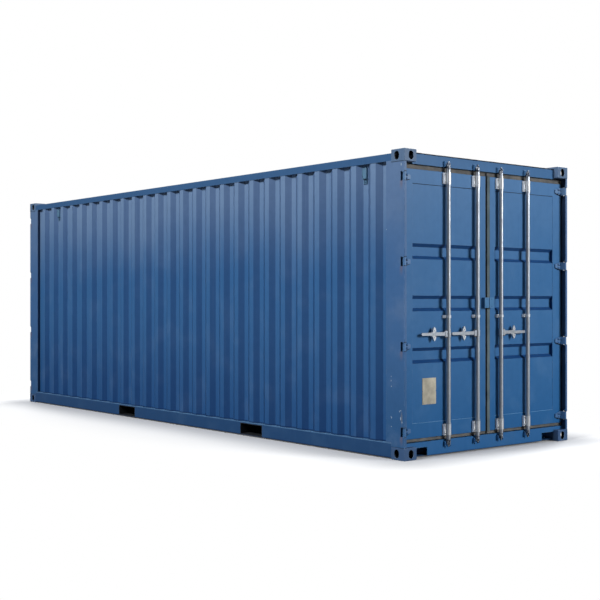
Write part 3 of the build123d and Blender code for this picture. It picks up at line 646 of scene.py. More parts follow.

# %% [markdown]
# The container was sprayed in one blue, but each part has aged in its own way:
# rails and castings are knocked by slings, doors are handled, the roof holds
# water. The same recipe gets other colours and amounts for each. The three
# colours are the paint, the paint where it has faded and where light from above is
# painted in, and the paint at its deepest, which also gives the painted shade low down.

# %% The painted parts
WALL_SLOPE_SHADE = (0.55, 0.61, 0.70, 1)
DOOR_SLOPE_SHADE = (0.32, 0.44, 0.6, 1)
PAINT_TABLE = {
    "wall_paint": ((50, 92, 138), (102, 126, 158), (34, 75, 123), dict(
        patches=0.12, streaks=0.25, rub=0.35, reach=0.004, rust=0.02,
        facing=(0, 1, 0), slope_shade=WALL_SLOPE_SHADE, extra=wall_foot)),
    "post_paint": ((59, 94, 138), (88, 112, 146), (42, 81, 124), dict(
        patches=0.5, rub=0.7, reach=0.007, size=6.0, extra=post_marks)),
    "top_rail_paint": ((46, 80, 120), (54, 87, 126), (42, 76, 118), dict(rust=0.12)),
    "rail_paint": ((42, 75, 113), (58, 89, 124), (34, 67, 107), dict(
        patches=0.25, rub=0.4, extra=rail_highlight_and_shade)),
    "frame_paint": ((50, 96, 142), (56, 96, 138), (38, 90, 141), dict(
        rub=0.4, rust=0.08, extra=low_edge_shade)),
    "door_paint": ((50, 97, 144), (68, 108, 151), (28, 84, 135), dict(
        streaks=0.15, rub=0.4, rust=0.05, size=7.0, facing=(1, 0, 0), slope_shade=DOOR_SLOPE_SHADE)),
    "box_paint": ((62, 108, 150), (78, 120, 158), (52, 100, 146), dict(
        rub=0.7, reach=0.005, rust=0.05)),
    "roof_paint": ((64, 100, 140), (88, 118, 148), (56, 88, 124), dict(
        patches=0.7, rub=0.6, rust=0.2, size=4.0, rough=0.5)),
    "under_paint": ((34, 38, 42), (48, 52, 56), (30, 32, 35), dict(
        rub=0.2, rust=0.3, size=5.0, rough=0.6)),
    "casting_paint": ((64, 92, 130), (82, 104, 132), (56, 82, 118), dict(
        patches=0.6, rub=1.0, reach=0.010, rust=0.2, size=12.0, extra=cavity_shade)),
    "vent_paint": ((58, 96, 134), (84, 118, 144), (44, 84, 126), dict(
        rub=0.3, reach=0.003, rust=0.0)),
    # A pale paint for the bead along the door panel's foot, a painted highlight.
    "pale_highlight_paint": ((88, 132, 172), (112, 146, 178), (74, 122, 166), dict(rust=0.02)),
}
for name, (*colors, amounts) in PAINT_TABLE.items():
    painted(name, *colors, **amounts)
print(len(PAINT_TABLE), "painted finishes")

# %% [markdown]
# Lock bars, handles and brackets are dipped in molten zinc. It cools in flakes of
# slightly different grey and dulls outdoors, so it is only partly a mirror. A
# Voronoi texture gives the flakes, and noise the dull bloom on top.

# %% Galvanised steel
CAM_ZONE = (1.286, 1.306)
ZINC_BUMP = (0.12, 0.0005)


def build_zinc_group():
    group, given, result = new_group("zinc_coat", {
        "Bright": tint(224, 228, 232), "Dull": tint(176, 180, 182), "Flakes": 90.0,
    }, ("Color", "Roughness", "Height"))
    place = object_place(group)
    cells = add_node(group, "ShaderNodeTexVoronoi", {"Vector": place, "Scale": given["Flakes"]})
    flake = add_node(group, "ShaderNodeSeparateColor", {0: cells.outputs["Color"]}).outputs[0]
    bloom = soft_step(group, noise(group, place, 6.0, 6.0, 0.6), 0.35, 0.7)
    share = scaled(group, flake, 0.35, times(group, bloom, 0.65))
    fill(group, result, {
        "Color": blend(group, share, given["Bright"], given["Dull"]),
        "Roughness": scaled(group, bloom, 0.12, 0.35),
        "Height": sum_node(group, "ADD", flake, noise(group, place, 220.0, 3.0)),
    })
    return group


ZINC_GROUP = build_zinc_group()


def zinc(name, bright, dull, metallic, rust=0.05):
    """Zinc, grimy on the cams at the ends of the bars, where grease holds dirt."""
    tree, shader = new_look(name)
    coat = use_group(tree, ZINC_GROUP, {"Bright": tint(*bright), "Dull": tint(*dull)})
    spots = use_group(tree, RUST_GROUP, {"Size": 22.0, "Amount": rust})
    color = blend(tree, spots["Mask"], coat["Color"], spots["Color"])
    away = distance(tree, split_place(tree)["Z"], MID_HEIGHT)
    ends = soft_step(tree, away, *CAM_ZONE)
    grease = soft_step(tree, noise(tree, object_place(tree), 70.0, 3.0), 0.40, 0.60)
    fill(tree, shader, {
        "Base Color": lay_on(tree, color, tint(24, 34, 52), ends, grease),
        "Roughness": coat["Roughness"],
        "Metallic": metallic,
        "Normal": bumped(tree, coat["Height"], *ZINC_BUMP),
    })


zinc("galvanised_steel", (168, 175, 184), (142, 148, 156), 0.85)
# A much paler zinc for the bracket wings, painted light, so that they look lit where the bar's
# shadow falls on them.
zinc("lit_bracket_steel", (240, 243, 246), (214, 218, 222), 0.3)
zinc("pin_steel", (120, 118, 116), (96, 88, 80), 0.5, rust=0.5)
print("zinc group has", len(ZINC_GROUP.nodes), "nodes")

# %% [markdown]
# The brackets, guides and catches are zinc like the bars, but the hinge blades on
# the same model part wear the door's blue. They lie beyond the leaf's outer edge,
# so one material tells them apart by how far out a point is.

# %% Brackets and hinge blades
BLADE_EDGE = 1.07
BLADE_BLEND = 0.003


def fitting_material():
    tree, shader = new_look("fitting_steel")
    out = distance(tree, split_place(tree)["Y"])
    blade = soft_step(tree, out, BLADE_EDGE - BLADE_BLEND, BLADE_EDGE + BLADE_BLEND)
    coat = use_group(tree, ZINC_GROUP, {
        "Bright": tint(204, 208, 213), "Dull": tint(176, 180, 184),
    })
    paint = use_group(tree, PAINT_GROUP, {
        "Paint": tint(66, 104, 148), "Faded and lit": tint(84, 116, 152), "Deep and shaded": tint(54, 94, 138),
    })
    edge = use_group(tree, EDGE_GROUP, {"Reach": 0.004, "Breakup": 20.0, "Amount": 0.6})["Mask"]
    blue = blend(tree, edge, paint["Color"], BARE_EDGE)
    rough = add_node(tree, "ShaderNodeMix", {0: blade, 2: coat["Roughness"], 3: 0.45})
    fill(tree, shader, {
        "Base Color": blend(tree, blade, coat["Color"], blue),
        "Roughness": rough.outputs[0],
        "Metallic": scaled(tree, blade, -0.7, 0.7),
        "Specular IOR Level": 0.35,
        "Normal": bumped(tree, coat["Height"], *ZINC_BUMP),
    })


fitting_material()
print("hinge blades start", BLADE_EDGE, "m from the middle")

# %% [markdown]
# The door seals are black rubber that dust and sun have turned brown grey: matt,
# with a dusty bloom that is stronger in patches, and fine crazing as bump. The
# sealant and the bare metal of the plate gather dust in the same way, so one
# recipe with other colours does for all of them.

# %% Rubber, sealant and plate
def dusty(name, base, dust, amount, rough, scale=30.0, metallic=0.0):
    tree, shader = new_look(name)
    place = object_place(tree)
    cloud = soft_step(tree, noise(tree, place, 5.0, 7.0, 0.6), 0.3, 0.75)
    grain = noise(tree, place, scale, 6.0, 0.6)
    cloud = times(tree, cloud, amount)
    fill(tree, shader, {
        "Base Color": lay_on(tree, tint(*base), tint(*dust), cloud, scaled(tree, grain, 0.8, 0.6)),
        "Roughness": scaled(tree, grain, 0.2, rough - 0.1),
        "Specular IOR Level": 0.25,
        "Metallic": metallic,
        "Normal": bumped(tree, noise(tree, place, scale * 9, 4.0), 0.25, 0.0006),
    })


dusty("gasket_rubber", (70, 72, 74), (112, 108, 102), 0.8, 0.75)
dusty("flap_rubber", (66, 80, 86), (100, 114, 120), 0.7, 0.75)
# The dark sealant also colours the painted shadow lines by the hinge blades and the painted shade
# in the seal slots.
dusty("dark_sealant_and_shade", (14, 26, 44), (40, 54, 74), 0.4, 0.6)
dusty("plate_metal", (138, 134, 122), (186, 180, 164), 0.95, 0.45, 60.0, 0.25)
print(len(LOOKS), "finishes so far")

# %% [markdown]
# The deck is brown plywood in long sheets, screwed down in rows. Ping-pong turns a
# position into a distance from the nearest of many evenly spaced lines, and that
# draws both the joints and the screw heads.

# %% Floor boards
SHEET_SIZE = (2.4, 1.166)
SCREW_PITCH = (0.302, 0.15)
HALF_JOINT = 0.003
SCREW_RADIUS = 0.006


def from_lines(tree, split, pitches):
    """How far a point lies from the nearest line across X, and across Y."""
    pairs = zip(("X", "Y"), pitches)
    return [sum_node(tree, "PINGPONG", split[axis], pitch / 2) for axis, pitch in pairs]


def plywood():
    tree, shader = new_look("plywood")
    place = object_place(tree)
    split = split_place(tree)
    grain = noise(tree, stretched(tree, place, (1.4, 30.0, 1.0)), 3.0, 8.0, 0.65)
    color = blend(tree, soft_step(tree, grain, 0.3, 0.7), tint(104, 72, 50), tint(150, 112, 80))
    worn = soft_step(tree, noise(tree, place, 1.6, 6.0), 0.5, 0.75)
    color = lay_on(tree, color, tint(92, 80, 70), worn, 0.6)
    gaps = from_lines(tree, split, SHEET_SIZE)
    joint = sum_node(tree, "MAXIMUM", *[sum_node(tree, "LESS_THAN", g, HALF_JOINT) for g in gaps])
    color = blend(tree, joint, color, tint(30, 24, 20))
    away = slant(tree, *from_lines(tree, split, SCREW_PITCH))
    head = sum_node(tree, "LESS_THAN", away, SCREW_RADIUS)
    fill(tree, shader, {
        "Base Color": blend(tree, head, color, tint(118, 112, 104)),
        "Roughness": scaled(tree, grain, 0.25, 0.4),
        "Normal": bumped(tree, scaled(tree, joint, -2.0, grain), 0.3, 0.001),
    })


plywood()
print("deck sheets are", SHEET_SIZE, "m")

# %% [markdown]
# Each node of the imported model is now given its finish. The model's own names say
# what a part is, so a short table of words in those names is enough. The first
# word that is found counts.

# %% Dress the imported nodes
FINISHES = {
    "castings": "casting_paint", "top_rail": "top_rail_paint", "bottom_rail": "rail_paint",
    "side_wall": "wall_paint", "vents": "vent_paint", "roof": "roof_paint",
    "post": "post_paint", "pins": "frame_paint", "header": "frame_paint",
    "sill": "frame_paint", "keepers": "frame_paint", "pockets": "under_paint",
    "members": "under_paint", "boards": "plywood", "gasket": "gasket_rubber",
    "fittings": "fitting_steel", "lock_bar": "galvanised_steel", "plate": "plate_metal",
    "door_": "door_paint", "lock_box": "box_paint",
}


def finish_for(name):
    for word, finish in FINISHES.items():
        if word in name:
            return LOOKS[finish]
    raise ValueError(f"no finish for {name}")


for name, node in NODES.items():
    node.data.materials.clear()
    node.data.materials.append(finish_for(name))
print(len(NODES), "nodes dressed")

# %% [markdown]
# The small pieces are modelled next, as by hand: a primitive at its size and
# place, then edit mode. Faces and edges are picked by where they are and which
# way they look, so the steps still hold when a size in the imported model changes.

# %% Helpers for modelling
def only(*pieces):
    """Selects these pieces and no others, with the first one active."""
    bpy.ops.object.select_all(action="DESELECT")
    for piece in pieces:
        piece.select_set(True)
    bpy.context.view_layer.objects.active = pieces[0]


def begin(name, kind, sides=(1, 1, 1), **settings):
    """A primitive as a new piece, stretched to its sides, with its place in its mesh."""
    bpy.ops.object.select_all(action="DESELECT")
    getattr(bpy.ops.mesh, f"primitive_{kind}_add")(**settings)
    piece = bpy.context.object
    piece.name = name
    piece.data.name = name
    bpy.ops.object.transform_apply(location=False, rotation=True, scale=True)
    bpy.ops.transform.resize(value=sides)
    bpy.ops.object.transform_apply(location=True, rotation=True, scale=True)
    return piece


def edit(piece):
    """Edit mode on this piece alone, with nothing picked."""
    only(piece)
    bpy.ops.object.mode_set(mode="EDIT")
    bpy.ops.mesh.select_all(action="DESELECT")


def pick_faces(piece, test):
    bpy.ops.mesh.select_mode(type="FACE")
    bpy.ops.mesh.select_all(action="DESELECT")
    mesh = bmesh.from_edit_mesh(piece.data)
    for face in mesh.faces:
        face.select_set(test(face.calc_center_median(), face.normal))
    bmesh.update_edit_mesh(piece.data)


def pick_edges(piece, test):
    bpy.ops.mesh.select_mode(type="EDGE")
    bpy.ops.mesh.select_all(action="DESELECT")
    mesh = bmesh.from_edit_mesh(piece.data)
    for line in mesh.edges:
        line.select_set(test(line.verts[0].co, line.verts[1].co))
    bmesh.update_edit_mesh(piece.data)


def step_in(width, shift, **settings):
    """Insets what is picked, then shifts the inner part."""
    bpy.ops.mesh.inset(thickness=width, **settings)
    bpy.ops.transform.translate(value=shift)


def halve(place, normal, stretch, **settings):
    """Cuts the whole mesh at a plane, closes the cut, and stretches the rest from there."""
    bpy.ops.mesh.select_all(action="SELECT")
    bpy.ops.mesh.bisect(plane_co=place, plane_no=normal, use_fill=True, **settings)
    bpy.ops.mesh.select_all(action="SELECT")
    bpy.ops.transform.resize(value=stretch, center_override=place)


def leave(piece, outwards=True, angle=35):
    """Back to object mode, with doubles merged, normals outwards and soft edges smooth."""
    bpy.ops.mesh.select_mode(type="VERT")
    bpy.ops.mesh.select_all(action="SELECT")
    bpy.ops.mesh.remove_doubles(threshold=0.00005)
    if outwards:
        bpy.ops.mesh.normals_make_consistent(inside=False)
    bpy.ops.object.mode_set(mode="OBJECT")
    if angle:
        bpy.ops.object.shade_smooth_by_angle(angle=math.radians(angle))
    return piece


def modify(piece, kind, **settings):
    """Adds one modifier to the active piece and applies it."""
    modifier = piece.modifiers.new(kind.lower(), kind)
    for key, value in settings.items():
        setattr(modifier, key, value)
    bpy.ops.object.modifier_apply(modifier=modifier.name)


# %% [markdown]
# A shape that comes back is modelled once, on the left leaf. The container is
# symmetrical, so a mirrored copy serves the right leaf, and both turned half round
# serve the rear doors. Each piece is told which body carries it.

# %% Helpers for copies
MIRROR_SIDE = Matrix.Scale(-1, 4, (0, 1, 0))
MIRROR_END = Matrix.Rotation(math.pi, 4, "Z")
IN_PLACE = Matrix.Identity(4)


def copies(master, name, places):
    """One piece made of copies of a master, each set down by a matrix."""
    parts = []
    for place in places:
        part = master.copy()
        part.data = master.data.copy()
        part.data.transform(place)
        if place.determinant() < 0:
            part.data.flip_normals()
        bpy.context.scene.collection.objects.link(part)
        parts.append(part)
    only(*parts)
    if len(parts) > 1:
        bpy.ops.object.join()
    parts[0].name = name
    parts[0].data.name = name
    return parts[0]


def discard(piece):
    mesh = piece.data
    bpy.data.objects.remove(piece)
    bpy.data.meshes.remove(mesh)


def settle(piece, body, look):
    """Gives a finished piece its look and its body."""
    piece.data.materials.clear()
    piece.data.materials.append(LOOKS[look])
    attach(piece, body)
    return piece


def on_leaves(master, word, places, look, rear=True):
    """Copies on the left leaf, mirrored on the right one, and both on the rear doors."""
    mirrored = [MIRROR_SIDE @ place for place in places]
    sets = [("left", "left_door", places), ("right", "right_door", mirrored)]
    if rear:
        sets.append(("rear", "root", [MIRROR_END @ place for place in places + mirrored]))
    for side, body, spots in sets:
        settle(copies(master, f"{side}_{word}", spots), body, look)
    print(sum(len(spots) for side, body, spots in sets), "copies for", word)


# %% [markdown]
# Each leaf is closed by a rubber seal: a flat strip with a soft lip that presses
# on the frame and a groove beside the steel. A plane is inset to a ring, the ring
# is inset again for the lip and the groove, and Solidify gives it its depth.

# %% The door seals
GASKET_LOW, GASKET_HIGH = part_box("left_door_gasket")
LEAF_LOW, LEAF_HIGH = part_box("left_door_frame")
RING_WIDTH = 0.010
LIP_WIDTH = 0.0028
LIP_RISE = 0.005
GROOVE_WIDTH = 0.0014
SEAL_DEPTH = 0.030
SEAL_ROUNDING = 0.0009


def door_seal(name):
    low, high = GASKET_LOW, GASKET_HIGH
    middle = (low + high) / 2
    face = (high.x, middle.y, middle.z)
    ring = begin(name, "plane", (1, high.y - low.y, high.z - low.z), size=1,
                 location=face, rotation=(0, math.radians(90), 0))
    edit(ring)
    bpy.ops.mesh.select_all(action="SELECT")
    bpy.ops.mesh.inset(thickness=RING_WIDTH)
    wide = (LEAF_HIGH.y - LEAF_LOW.y) / (high.y - low.y - 2 * RING_WIDTH)
    tall = (LEAF_HIGH.z - LEAF_LOW.z) / (high.z - low.z - 2 * RING_WIDTH)
    bpy.ops.transform.resize(value=(1, wide, tall), center_override=face)
    shift = (LEAF_LOW + LEAF_HIGH) / 2 - middle
    bpy.ops.transform.translate(value=(0, shift.y, shift.z))
    bpy.ops.mesh.delete(type="FACE")
    bpy.ops.mesh.select_all(action="SELECT")
    step_in(LIP_WIDTH, (LIP_RISE, 0, 0), use_boundary=True)
    step_in(GROOVE_WIDTH, (-LIP_RISE * 1.5, 0, 0), use_boundary=True)
    leave(ring, outwards=False, angle=0)
    modify(ring, "SOLIDIFY", thickness=SEAL_DEPTH, offset=-1)
    modify(ring, "BEVEL", width=SEAL_ROUNDING, segments=2)
    bpy.ops.object.shade_smooth_by_angle(angle=math.radians(35))
    return ring


left_seal = door_seal("left_door_seal")
right_seal = copies(left_seal, "right_door_seal", [MIRROR_SIDE])
rear_seals = copies(left_seal, "rear_door_seals", [MIRROR_END, MIRROR_END @ MIRROR_SIDE])
for seal, body, node in ((left_seal, "left_door", "left_door_gasket"),
                         (right_seal, "right_door", "right_door_gasket"),
                         (rear_seals, "root", "rear_door_gaskets")):
    settle(seal, body, "gasket_rubber")
    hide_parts(node)
print("a seal has", len(left_seal.data.polygons), "faces")

# %% [markdown]
# The gap between the leaves is covered by one more strip of rubber, a flap on the
# inner edge of the right leaf. It is a block with rounded long edges, its face let
# in a little, and it laps over the ends of the leaf by a few millimetres.

# %% The flap over the door gap
FLAP_SPAN = (0.0040, 0.0450)
FLAP_SINK = 0.002
FLAP_RISE = 0.0035
FLAP_LAP = 0.004


def seam_strip():
    low = Vector((LEAF_HIGH.x - FLAP_SINK, FLAP_SPAN[0], LEAF_LOW.z - FLAP_LAP))
    high = Vector((LEAF_HIGH.x + FLAP_RISE, FLAP_SPAN[1], LEAF_HIGH.z + FLAP_LAP))
    strip = begin("seam_strip", "cube", high - low, size=1, location=(low + high) / 2)
    edit(strip)
    front = LEAF_HIGH.x
    pick_edges(strip, lambda a, b: a.x > front and b.x > front and abs(a.z - b.z) > 1)
    bpy.ops.mesh.bevel(offset=0.0018, segments=3)
    pick_faces(strip, lambda c, n: n.x > 0.9)
    step_in(0.003, (-0.001, 0, 0))
    return leave(strip)


strip = seam_strip()
rear_strip = copies(strip, "rear_seam_strip", [MIRROR_END])
settle(strip, "right_door", "flap_rubber")
settle(rear_strip, "root", "flap_rubber")
print("the flap is", round(strip.dimensions.z, 3), "m tall")

# %% [markdown]
# A vent is a small hood riveted over holes near the top of the wall, with a cap
# above and louvre slats below. The hood is one block: its corners are bevelled and
# its underside is inset and drawn up, so that it is hollow as the real one is.

# %% The vent hoods
VENT_LOW, VENT_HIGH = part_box("left_vents")
VENT_MIDDLE = (VENT_LOW + VENT_HIGH) / 2
HOOD_WIDTH = 0.060
HOOD_X = VENT_HIGH.x - HOOD_WIDTH / 2
VENT_WALL = VENT_HIGH.y
CAP_RADIUS = 0.014
CAP_RISE = 0.012
SLAT_SIZE = (0.054, 0.010, 0.004)
SLAT_PITCH = 0.011


def vent_hood():
    tall = VENT_HIGH.z - VENT_LOW.z
    hood = begin("vent_hood", "cube", (HOOD_WIDTH, VENT_WALL - VENT_LOW.y, tall), size=1,
                 location=(HOOD_X, VENT_MIDDLE.y, VENT_MIDDLE.z))
    edit(hood)
    pick_edges(hood, lambda a, b: a.y < VENT_MIDDLE.y and b.y < VENT_MIDDLE.y)
    bpy.ops.mesh.bevel(offset=0.004, segments=3)
    pick_faces(hood, lambda c, n: n.z < -0.9)
    bpy.ops.mesh.inset(thickness=0.003)
    bpy.ops.mesh.extrude_region_move(TRANSFORM_OT_translate={"value": (0, 0, tall * 0.8)})
    pick_faces(hood, lambda c, n: n.y < -0.95)
    step_in(0.006, (0, 0.0012, 0))
    return leave(hood)


def vent_cap():
    """A shallow dome over the hood."""
    level = VENT_HIGH.z + CAP_RISE
    cap = begin("vent_cap", "uv_sphere", segments=16, ring_count=8, radius=CAP_RADIUS,
                location=(HOOD_X, VENT_WALL - 0.002, level))
    edit(cap)
    halve((HOOD_X, VENT_WALL, level), (0, 1, 0), (1, 0.8, 0.8), clear_outer=True)
    return leave(cap)


def vent_slat():
    """One louvre, tipped so that rain runs off."""
    slat = begin("vent_slat", "cube", SLAT_SIZE, size=1,
                 location=(HOOD_X, VENT_WALL - 0.005, VENT_LOW.z - 0.008))
    edit(slat)
    pick_faces(slat, lambda c, n: n.y < -0.9)
    bpy.ops.transform.translate(value=(0, 0, -0.004))
    pick_edges(slat, lambda a, b: a.y < VENT_WALL - 0.008 and b.y < VENT_WALL - 0.008)
    bpy.ops.mesh.bevel(offset=0.001, segments=2)
    return leave(slat, angle=0)


vent = vent_hood()
cap = vent_cap()
slat = vent_slat()
rows = [Matrix.Translation((0, 0, -SLAT_PITCH * index)) for index in range(4)]
louvres = copies(slat, "vent_louvres", rows)
only(vent, cap, louvres)
bpy.ops.object.join()
far_vent = Matrix.Translation((VENT_LOW.x + HOOD_WIDTH / 2 - HOOD_X, 0, 0))
left_hoods = copies(vent, "left_vent_hoods", [IN_PLACE, far_vent])
right_hoods = copies(vent, "right_vent_hoods", [MIRROR_SIDE, MIRROR_SIDE @ far_vent])
for piece, node in ((left_hoods, "left_vents"), (right_hoods, "right_vents")):
    settle(piece, "root", "vent_paint")
    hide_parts(node)
for master in (slat, vent):
    discard(master)
print("each side has", len(left_hoods.data.polygons), "vent faces")

# %% [markdown]
# Welds and lines of sealant join the plates. One bead is modelled: a thin rod, cut
# into many rings that are jogged a little, as a hand-laid bead is. Copies are
# stretched along every joint, thicker where it is sealant, and along a few dark
# lines that are painted shadows.

# %% One bead for every joint
BEAD_RADIUS = 0.003
BEAD_CUTS = 40
BEAD_JOG = 0.0008
X_AXIS = Vector((1, 0, 0))


def bead_master():
    bead = begin("bead_master", "cylinder", vertices=8, radius=BEAD_RADIUS, depth=1.0,
                 rotation=(0, math.radians(90), 0))
    edit(bead)
    pick_edges(bead, lambda a, b: abs(a.x - b.x) > 0.5)
    bpy.ops.mesh.subdivide(number_cuts=BEAD_CUTS)
    pick_edges(bead, lambda a, b: abs(a.x) < 0.49 and abs(b.x) < 0.49)
    bpy.ops.transform.vertex_random(offset=BEAD_JOG, seed=7)
    return leave(bead, angle=60)


def run_from(start, end, thick=1.0):
    """The matrix that lays the one metre bead from start to end."""
    start, end = Vector(start), Vector(end)
    turn = X_AXIS.rotation_difference((end - start).normalized())
    size = ((end - start).length, thick, thick)
    return Matrix.LocRotScale((start + end) / 2, turn, size)


def run_level(x, start_y, end_y, level, thick=1.0):
    """A bead that lies level across the container."""
    return run_from((x, start_y, level), (x, end_y, level), thick)


bead = bead_master()
print("the bead has", len(bead.data.polygons), "faces")

# %% [markdown]
# On the leaves a dark line runs along the panel's top edge, dark lines beside the
# hinge blades are painted shadows of the blades and their bolts, and a pale line
# along the panel's foot is a painted highlight. Sealant closes the header, and dark
# lines mark where the castings meet their posts and the edges of the cut-outs.

# %% Weld beads, sealant lines and painted shadow lines
PANEL_LOW, PANEL_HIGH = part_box("left_door_panel")
HEADER_LOW, HEADER_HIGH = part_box("front_header")
CASTING_HEIGHT = CASTING_SIZE[2]
WELD_SINK = 0.0040
BLADE_FACE = LEAF_HIGH.x + 0.012
POST_EDGE = -1.186

panel_front = PANEL_HIGH.x + 0.0005
sealant_and_shadow_lines = [run_level(panel_front, PANEL_LOW.y, PANEL_HIGH.y, PANEL_HIGH.z)]
for level in HINGE_LEVELS:
    # Painted shadows: a dark line below each blade and under each row of its bolts.
    root, tip = (-1.178, level - 0.042), (-1.088, level - 0.023)
    sealant_and_shadow_lines.append(run_from((LEAF_HIGH.x, *root), (LEAF_HIGH.x, *tip), 1.5))
    for rise in (0.008, -0.034):
        sealant_and_shadow_lines.append(run_level(BLADE_FACE, -1.180, -1.122, level + rise))
# Painted highlight: a pale line along the panel's foot.
highlight_lines = [run_level(panel_front, PANEL_LOW.y, PANEL_HIGH.y, PANEL_LOW.z)]
on_leaves(bead, "door_sealant_and_shadow", sealant_and_shadow_lines, "dark_sealant_and_shade")
on_leaves(bead, "door_weld", highlight_lines, "pale_highlight_paint")
header_line = run_level(HEADER_HIGH.x + 0.001, HEADER_LOW.y + 0.004, HEADER_HIGH.y - 0.004,
                        HEADER_HIGH.z - 0.005, 1.8)
roof_line = copies(bead, "header_sealant", [header_line, MIRROR_END @ header_line])
settle(roof_line, "root", "dark_sealant_and_shade")

corner_runs = []
side = -HALF_WIDTH + WELD_SINK
front = HALF_LENGTH - WELD_SINK
for level in HINGE_LEVELS:
    for rise in (-0.0425, 0.0425):
        corner_runs.append(run_level(front - 0.003, side + 0.002, POST_EDGE, level + rise))
for level in (CASTING_HEIGHT, HEIGHT - CASTING_HEIGHT):
    corner_runs.append(run_from((front - 0.172, side, level), (front - 0.004, side, level)))
    corner_runs.append(run_level(front, side + 0.004, side + 0.026, level))
corner_runs += [MIRROR_SIDE @ run for run in corner_runs]
corner_runs += [MIRROR_END @ run for run in corner_runs]
settle(copies(bead, "corner_welds", corner_runs), "root", "dark_sealant_and_shade")
discard(bead)
print(len(corner_runs), "dark lines at the castings and hinges")

# %% [markdown]
# Every bracket clamps its bar between two cast wings. A wing starts as a block one
# metre tall, and its edges are bevelled, its face inset and its foot pulled out.
# Each copy is then scaled to its bracket, or to a guide half way up the bars.

# %% Bracket wings
BAR_PLACES = (0.594, 0.176)
BRACKET_TALL = 0.107
GUIDE_TALL = 0.030
BRACKET_LEVELS = (LEAF_HIGH.z - 0.008 - BRACKET_TALL, LEAF_LOW.z + 0.006)
GUIDE_LEVEL = 1.331
WING_FACE = LEAF_HIGH.x + 0.028
WING_PLACE = 0.0345
WING_DEPTH, WING_WIDTH = 0.024, 0.015


def wing_master():
    """A wing one metre tall at the origin, on the -Y side of its bar."""
    wing = begin("wing_master", "cube", (WING_DEPTH, WING_WIDTH, 1.0), size=1,
                 location=(-WING_DEPTH / 2, -WING_PLACE, 0))
    edit(wing)
    pick_faces(wing, lambda c, n: n.x < -0.9)
    inner_side = (0, -WING_PLACE + WING_WIDTH / 2, 0)
    bpy.ops.transform.resize(value=(1, 1.25, 1), center_override=inner_side)
    pick_edges(wing, lambda a, b: min(a.x, b.x) > -0.001 and abs(a.z - b.z) > 0.5)
    bpy.ops.mesh.bevel(offset=0.003, segments=3)
    pick_faces(wing, lambda c, n: n.x > 0.95)
    step_in(0.002, (-0.001, 0, 0))
    return leave(wing)


def wings_at(y, level, tall):
    """Both wings of one bracket or guide."""
    place = Matrix.Translation((WING_FACE, y, level))
    stretch = Matrix.Diagonal((1, 1, tall, 1))
    return [place @ stretch, place @ MIRROR_SIDE @ stretch]


wing = wing_master()
wings = []
for place in BAR_PLACES:
    for low in BRACKET_LEVELS:
        wings += wings_at(-place, low + BRACKET_TALL / 2, BRACKET_TALL)
    wings += wings_at(-place, GUIDE_LEVEL, GUIDE_TALL)
on_leaves(wing, "door_wings", wings, "lit_bracket_steel")
discard(wing)

# %% [markdown]
# Bolts hold the brackets, guides and hinge blades, and rivets the lock box and the
# plate. A bolt is a six-sided rod with a washer under it, and both have their faces
# inset and raised. A rivet is half a sphere, flattened. Each is modelled once, at the origin.

# %% One bolt and one rivet
ALONG_X = (0, math.radians(90), 0)
RIVET_RADIUS = 0.006


def bolt_master():
    bolt = begin("bolt_master", "cylinder", vertices=6, radius=0.0085, depth=0.005,
                 location=(0.0040, 0, 0), rotation=ALONG_X)
    edit(bolt)
    pick_faces(bolt, lambda c, n: n.x > 0.9)
    step_in(0.0014, (0.0010, 0, 0))
    bpy.ops.mesh.select_all(action="DESELECT")
    bpy.ops.mesh.primitive_cylinder_add(vertices=14, radius=0.0115, depth=0.0016,
                                        location=(0.0008, 0, 0), rotation=ALONG_X)
    pick_faces(bolt, lambda c, n: n.x > 0.9 and c.x < 0.002)
    step_in(0.0012, (0.0006, 0, 0))
    return leave(bolt, angle=0)


def rivet_master():
    rivet = begin("rivet_master", "uv_sphere", segments=12, ring_count=6, radius=RIVET_RADIUS)
    edit(rivet)
    halve((0, 0, 0), (1, 0, 0), (0.5, 1, 1), clear_inner=True)
    return leave(rivet)


bolt = bolt_master()
rivet = rivet_master()
print("a bolt has", len(bolt.data.polygons), "faces, a rivet", len(rivet.data.polygons))

# %% [markdown]
# The places come from the model's own boxes and from the bars: four bolts on a
# bracket, two on a guide, four on a hinge blade, and rivets near the edges of the
# lock box and of the plate.

# %% Bolts and rivets in their places
BOX_LOW, BOX_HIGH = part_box("left_lock_box")
TAG_LOW, TAG_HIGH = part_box("data_plate")
BOLT_RISES = (0.018, 0.089)
BOX_MARGIN = 0.016
TAG_MARGIN = 0.012
BLADE_BOLTS = ((-1.166, 0.021), (-1.166, -0.021), (-1.130, 0.018), (-1.130, -0.018))


def leaf_bolts():
    """Places of the bolts on a left leaf."""
    places = []
    for place in BAR_PLACES:
        sides = (-place - WING_PLACE, -place + WING_PLACE)
        for low in BRACKET_LEVELS:
            places += [(WING_FACE, y, low + rise) for y in sides for rise in BOLT_RISES]
        places += [(WING_FACE, y, GUIDE_LEVEL) for y in sides]
    return [Matrix.Translation(place) @ Matrix.Scale(0.6, 4) for place in places]


